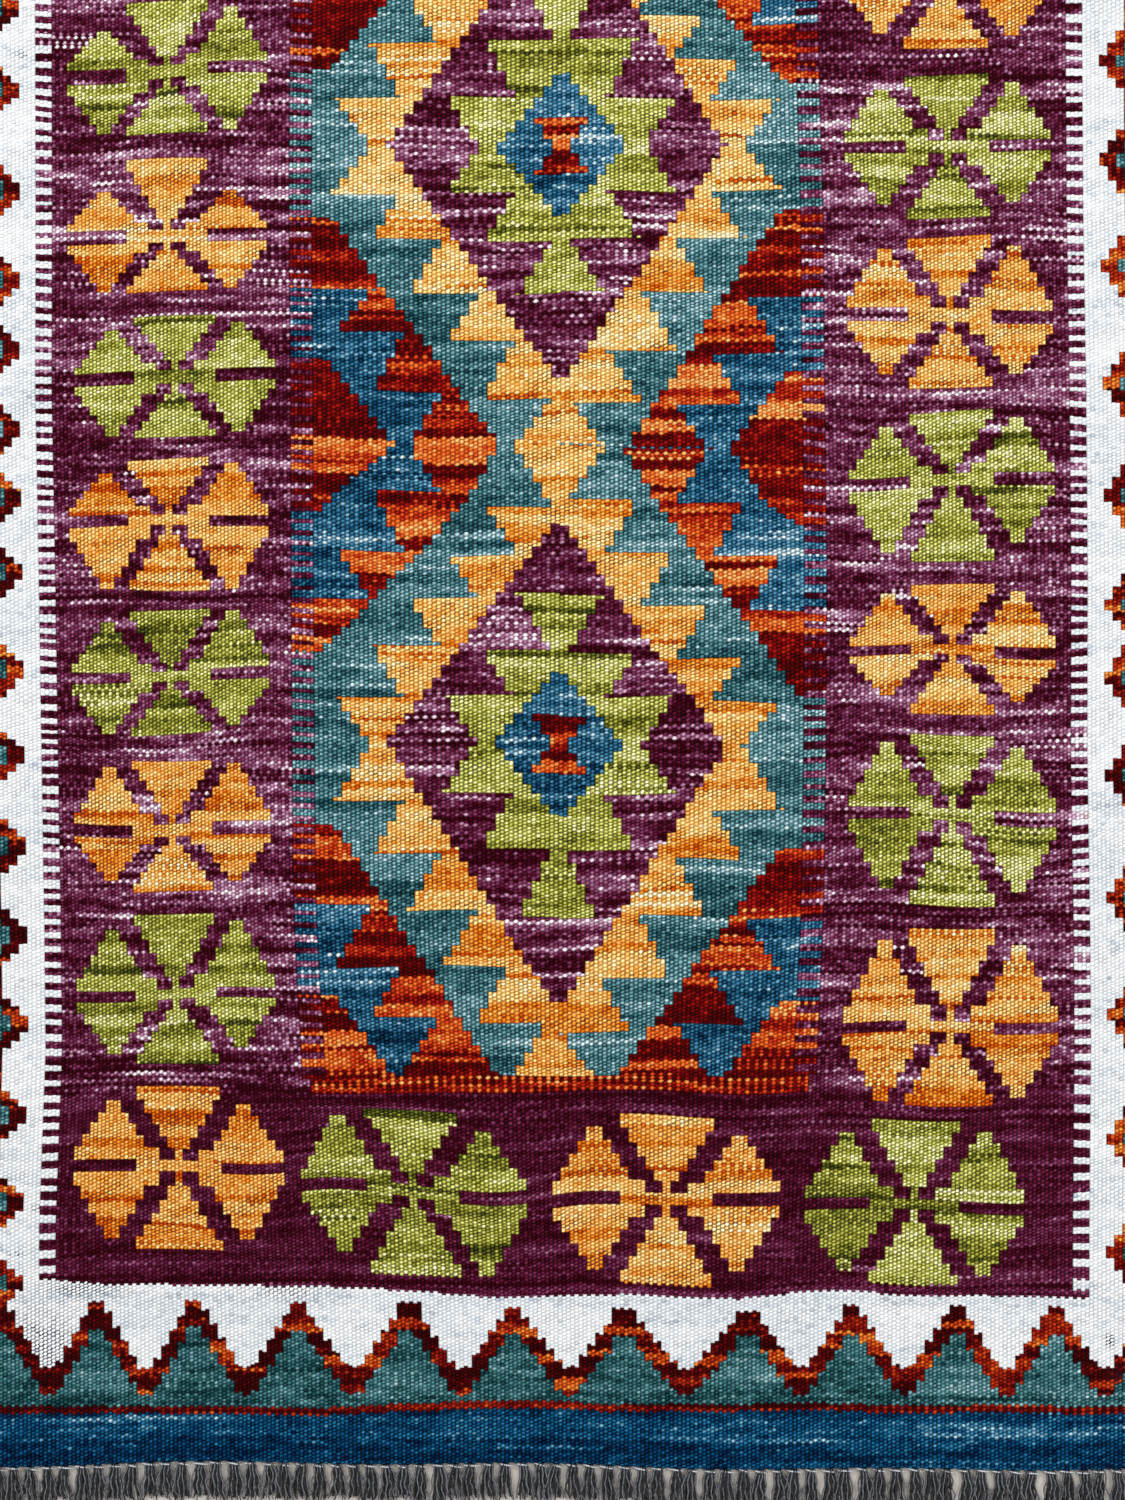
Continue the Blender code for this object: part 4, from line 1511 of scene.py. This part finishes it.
def fibre_wool(name, dark, mid, pale, twist):
    """Plied yarn: its plies wind round it, and light is painted on its upward crest, with painted
    shade on its sides.
    """
    material, tree, shader = new_material(name)
    place = node(tree, "ShaderNodeTexCoord").outputs["Object"]
    wrap = node(tree, "ShaderNodeUVMap", {"uv_map": "yarn"}).outputs[0]
    parts = node(tree, "ShaderNodeSeparateXYZ", i0=wrap)
    phase = maths(tree, "ADD", parts.outputs[0], maths(tree, "MULTIPLY", parts.outputs[1], twist))
    ply = maths(tree, "ABSOLUTE", maths(tree, "SINE", maths(tree, "MULTIPLY", phase, 2 * math.pi)))
    fibre = noise_texture(tree, place, STRAND_GRAIN, 4.0, 0.75)
    patch = noise_texture(tree, place, PATCH_GRAIN, 2.0, 0.5)
    plies = maths(tree, "MULTIPLY", ply, PLY_SHARE)
    tone = maths(tree, "ADD", plies, maths(tree, "MULTIPLY", fibre, FIBRE_SHARE))
    tone = maths(tree, "ADD", tone, maths(tree, "MULTIPLY_ADD", patch, PATCH_SHARE, PATCH_LOW))
    # painted light: the part of a strand that faces up is lightened, and its sides are darkened
    normal = node(tree, "ShaderNodeNewGeometry").outputs["Normal"]
    facing = node(tree, "ShaderNodeSeparateXYZ", i0=normal).outputs[2]
    crest = eased(tree, facing, CREST_FROM, 1.0)
    tone = maths(tree, "MULTIPLY", tone, maths(tree, "MULTIPLY_ADD", crest, *CREST_LIGHT))
    lifted = maths(tree, "ADD", attribute(tree, "tone", "Fac"), TONE_LIFT)
    tone = maths(tree, "MULTIPLY", tone, lifted, clamp=True)
    ramp = node(tree, "ShaderNodeValToRGB", Fac=tone)
    ramp.color_ramp.elements[0].color = (*linear(dark), 1)
    ramp.color_ramp.elements[1].color = (*linear(pale), 1)
    ramp.color_ramp.elements.new(MID_AT).color = (*linear(mid), 1)
    relief = maths(tree, "ADD", ply, maths(tree, "MULTIPLY", fibre, 0.5))
    colour = ramp.outputs[0]
    finish_wool(tree, shader, colour, relief, fibre, roughness=(0.25, 0.7), bump=(0.9, 0.0004))
    shader.inputs["Sheen Weight"].default_value = 0.15
    return material


DARK_GREY = ("#010102", "#0e0e11", "#6f737b")
PALE = ("#8b8d90", "#d5d9dc", "#f7f9fa")
fringe_wool = fibre_wool("plied dark grey wool, cut and curling", *DARK_GREY, twist=0.33)
twine_wool = fibre_wool("pale plied twine, pulled tight", *PALE, twist=0.5)

ENDS = {"fringe_front": (-1, 41), "fringe_back": (1, 42)}
tufts = {}
for name, (end, seed) in ENDS.items():
    paths, radius, tones = strand_paths(end, seed)
    mesh = tube_mesh(name, paths, radius, STRAND_SIDES, tones)
    tufts[name] = put(f"{name}_tufts", mesh, fringe_wool)
    print(name, len(tufts[name].data.polygons) * 2, "triangles")

# %% [markdown]
# The twine takes one stitch over each bundle, just outside the last row of weft. It is one
# long yarn on the real rug, but between two stitches it dives under the tuft. So short
# tubes that taper and dip at both ends look the same.

# %% The twine's stitches
STITCH_PARTS = 9
STITCH_SIDES = 6
STITCH_REACH = (3.8, 5.3)  # mm to each side of a tuft's middle
STITCH_SLANT = (0.2, 1.1)
STITCH_STRAY = 0.5
STITCH_AT = 1.3  # mm outside the last weft
STITCH_TOP = 2.5
STITCH_DIP = 1.1
STITCH_RADIUS = 0.62
STITCH_TAPER = 0.3
TWINE_TONE = 0.5


def stitch_paths(end, seed):
    """The paths and radii of the twine's stitches at one end of the rug."""
    chance = np.random.default_rng(seed)

    def of_stitch(low, high):
        return chance.uniform(low, high, TUFTS)[:, None]

    middle = (TUFT_PITCH * (np.arange(TUFTS) + 0.5) - HALF_WIDTH)[:, None]
    along = np.linspace(-1, 1, STITCH_PARTS)[None, :]
    x = middle + along * of_stitch(*STITCH_REACH) + of_stitch(-STITCH_STRAY, STITCH_STRAY)
    y = STITCH_AT + of_stitch(*STITCH_SLANT) * along + of_stitch(-STITCH_STRAY, STITCH_STRAY)
    z = np.tile(STITCH_TOP - STITCH_DIP * along**4, (TUFTS, 1))
    radius = STITCH_RADIUS - STITCH_TAPER * along**2 + np.zeros((TUFTS, 1))
    edge_x, edge_y = laid(x * MM, np.full_like(x, end * CLOTH_LENGTH / 2))
    return np.stack([edge_x / MM, edge_y / MM + end * y, z], axis=-1), radius


twines = {}
for name, (end, seed) in ENDS.items():
    paths, radius = stitch_paths(end, seed + 10)
    tones = np.full(TUFTS, TWINE_TONE)
    mesh = tube_mesh(f"{name}_twine", paths, radius, STITCH_SIDES, tones)
    twines[name] = put(f"{name}_twine", mesh, twine_wool)
    print(name, TUFTS, "stitches of twine")

# %% [markdown]
# ## What each piece stands for
#
# Each piece is attached to the root, and the part of the plain model that it replaces is hidden.

# %% Attaching the pieces, and hiding the parts they replace
for piece in [*woven, body]:
    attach(piece, "root")
    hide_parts("rug_cloth")
for name in ENDS:
    for piece, slot in ((tufts[name], "fringe_wool"), (twines[name], "end_twine")):
        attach(piece, "root")
        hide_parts(name)

# %% [markdown]
# ## Floor, light and camera
#
# The floor is plain and pale, so that only the rug speaks. The light is that of a bright
# room: a window at the far left and a broad fill from the right, both large and soft, and
# low enough to show the beads. A single lamp overhead would flatten them.

# %% Floor and lights
def floor_material():
    material, tree, shader = new_material("pale matt floor")
    place = node(tree, "ShaderNodeTexCoord").outputs["Object"]
    grain = noise_texture(tree, place, 60.0, 4.0, 0.6)
    ramp = node(tree, "ShaderNodeValToRGB", Fac=grain)
    ramp.color_ramp.elements[0].color = (*linear("#cfc6bd"), 1)
    ramp.color_ramp.elements[1].color = (*linear("#dfd8d0"), 1)
    tree.links.new(ramp.outputs[0], shader.inputs["Base Color"])
    shader.inputs["Roughness"].default_value = 0.85
    return material


HALF_FLOOR = 8  # metres
floor_corners = [(x * HALF_FLOOR, y * HALF_FLOOR, 0) for x, y in ((-1, -1), (1, -1), (1, 1), (-1, 1))]
floor_mesh = bpy.data.meshes.new("floor")
floor_mesh.from_pydata(floor_corners, [], [(0, 1, 2, 3)])
floor = put("floor", floor_mesh, floor_material())


def area_light(name, place, size, watts):
    """A square light that faces the middle of the rug."""
    data = bpy.data.lights.new(name, "AREA")
    data.size = size
    data.energy = watts
    light = bpy.data.objects.new(name, data)
    light.location = place
    light.rotation_euler = (-Vector(place)).to_track_quat("-Z", "Y").to_euler()
    bpy.context.scene.collection.objects.link(light)


LIGHTS = [
    {"name": "window", "place": (-1.6, 1.5, 1.9), "size": 1.3, "watts": 58},
    {"name": "fill", "place": (1.9, 0.2, 2.0), "size": 1.8, "watts": 40},
]
for light in LIGHTS:
    area_light(**light)
print(len(LIGHTS), "lights")

ROOM_LIGHT = 0.49
world = bpy.data.worlds.new("soft room")
world.use_nodes = True
background = world.node_tree.nodes["Background"]
background.inputs["Color"].default_value = (1, 1, 1, 1)
background.inputs["Strength"].default_value = ROOM_LIGHT
bpy.context.scene.world = world
bpy.context.scene.view_settings.view_transform = "Standard"

# %% Camera, straight above the front part of the rug
FRAME_HEIGHT = 0.912  # of the floor, from the picture's top to its bottom
LENS = 50.0
SENSOR = 36.0
CAMERA_AIM = (0.0, -0.184)
camera_data = bpy.data.cameras.new("camera")
camera_data.lens = LENS
camera_data.sensor_width = SENSOR
camera = bpy.data.objects.new("camera", camera_data)
camera.location = (*CAMERA_AIM, FRAME_HEIGHT * LENS / SENSOR + CLOTH_THICKNESS)
bpy.context.scene.collection.objects.link(camera)
bpy.context.scene.camera = camera
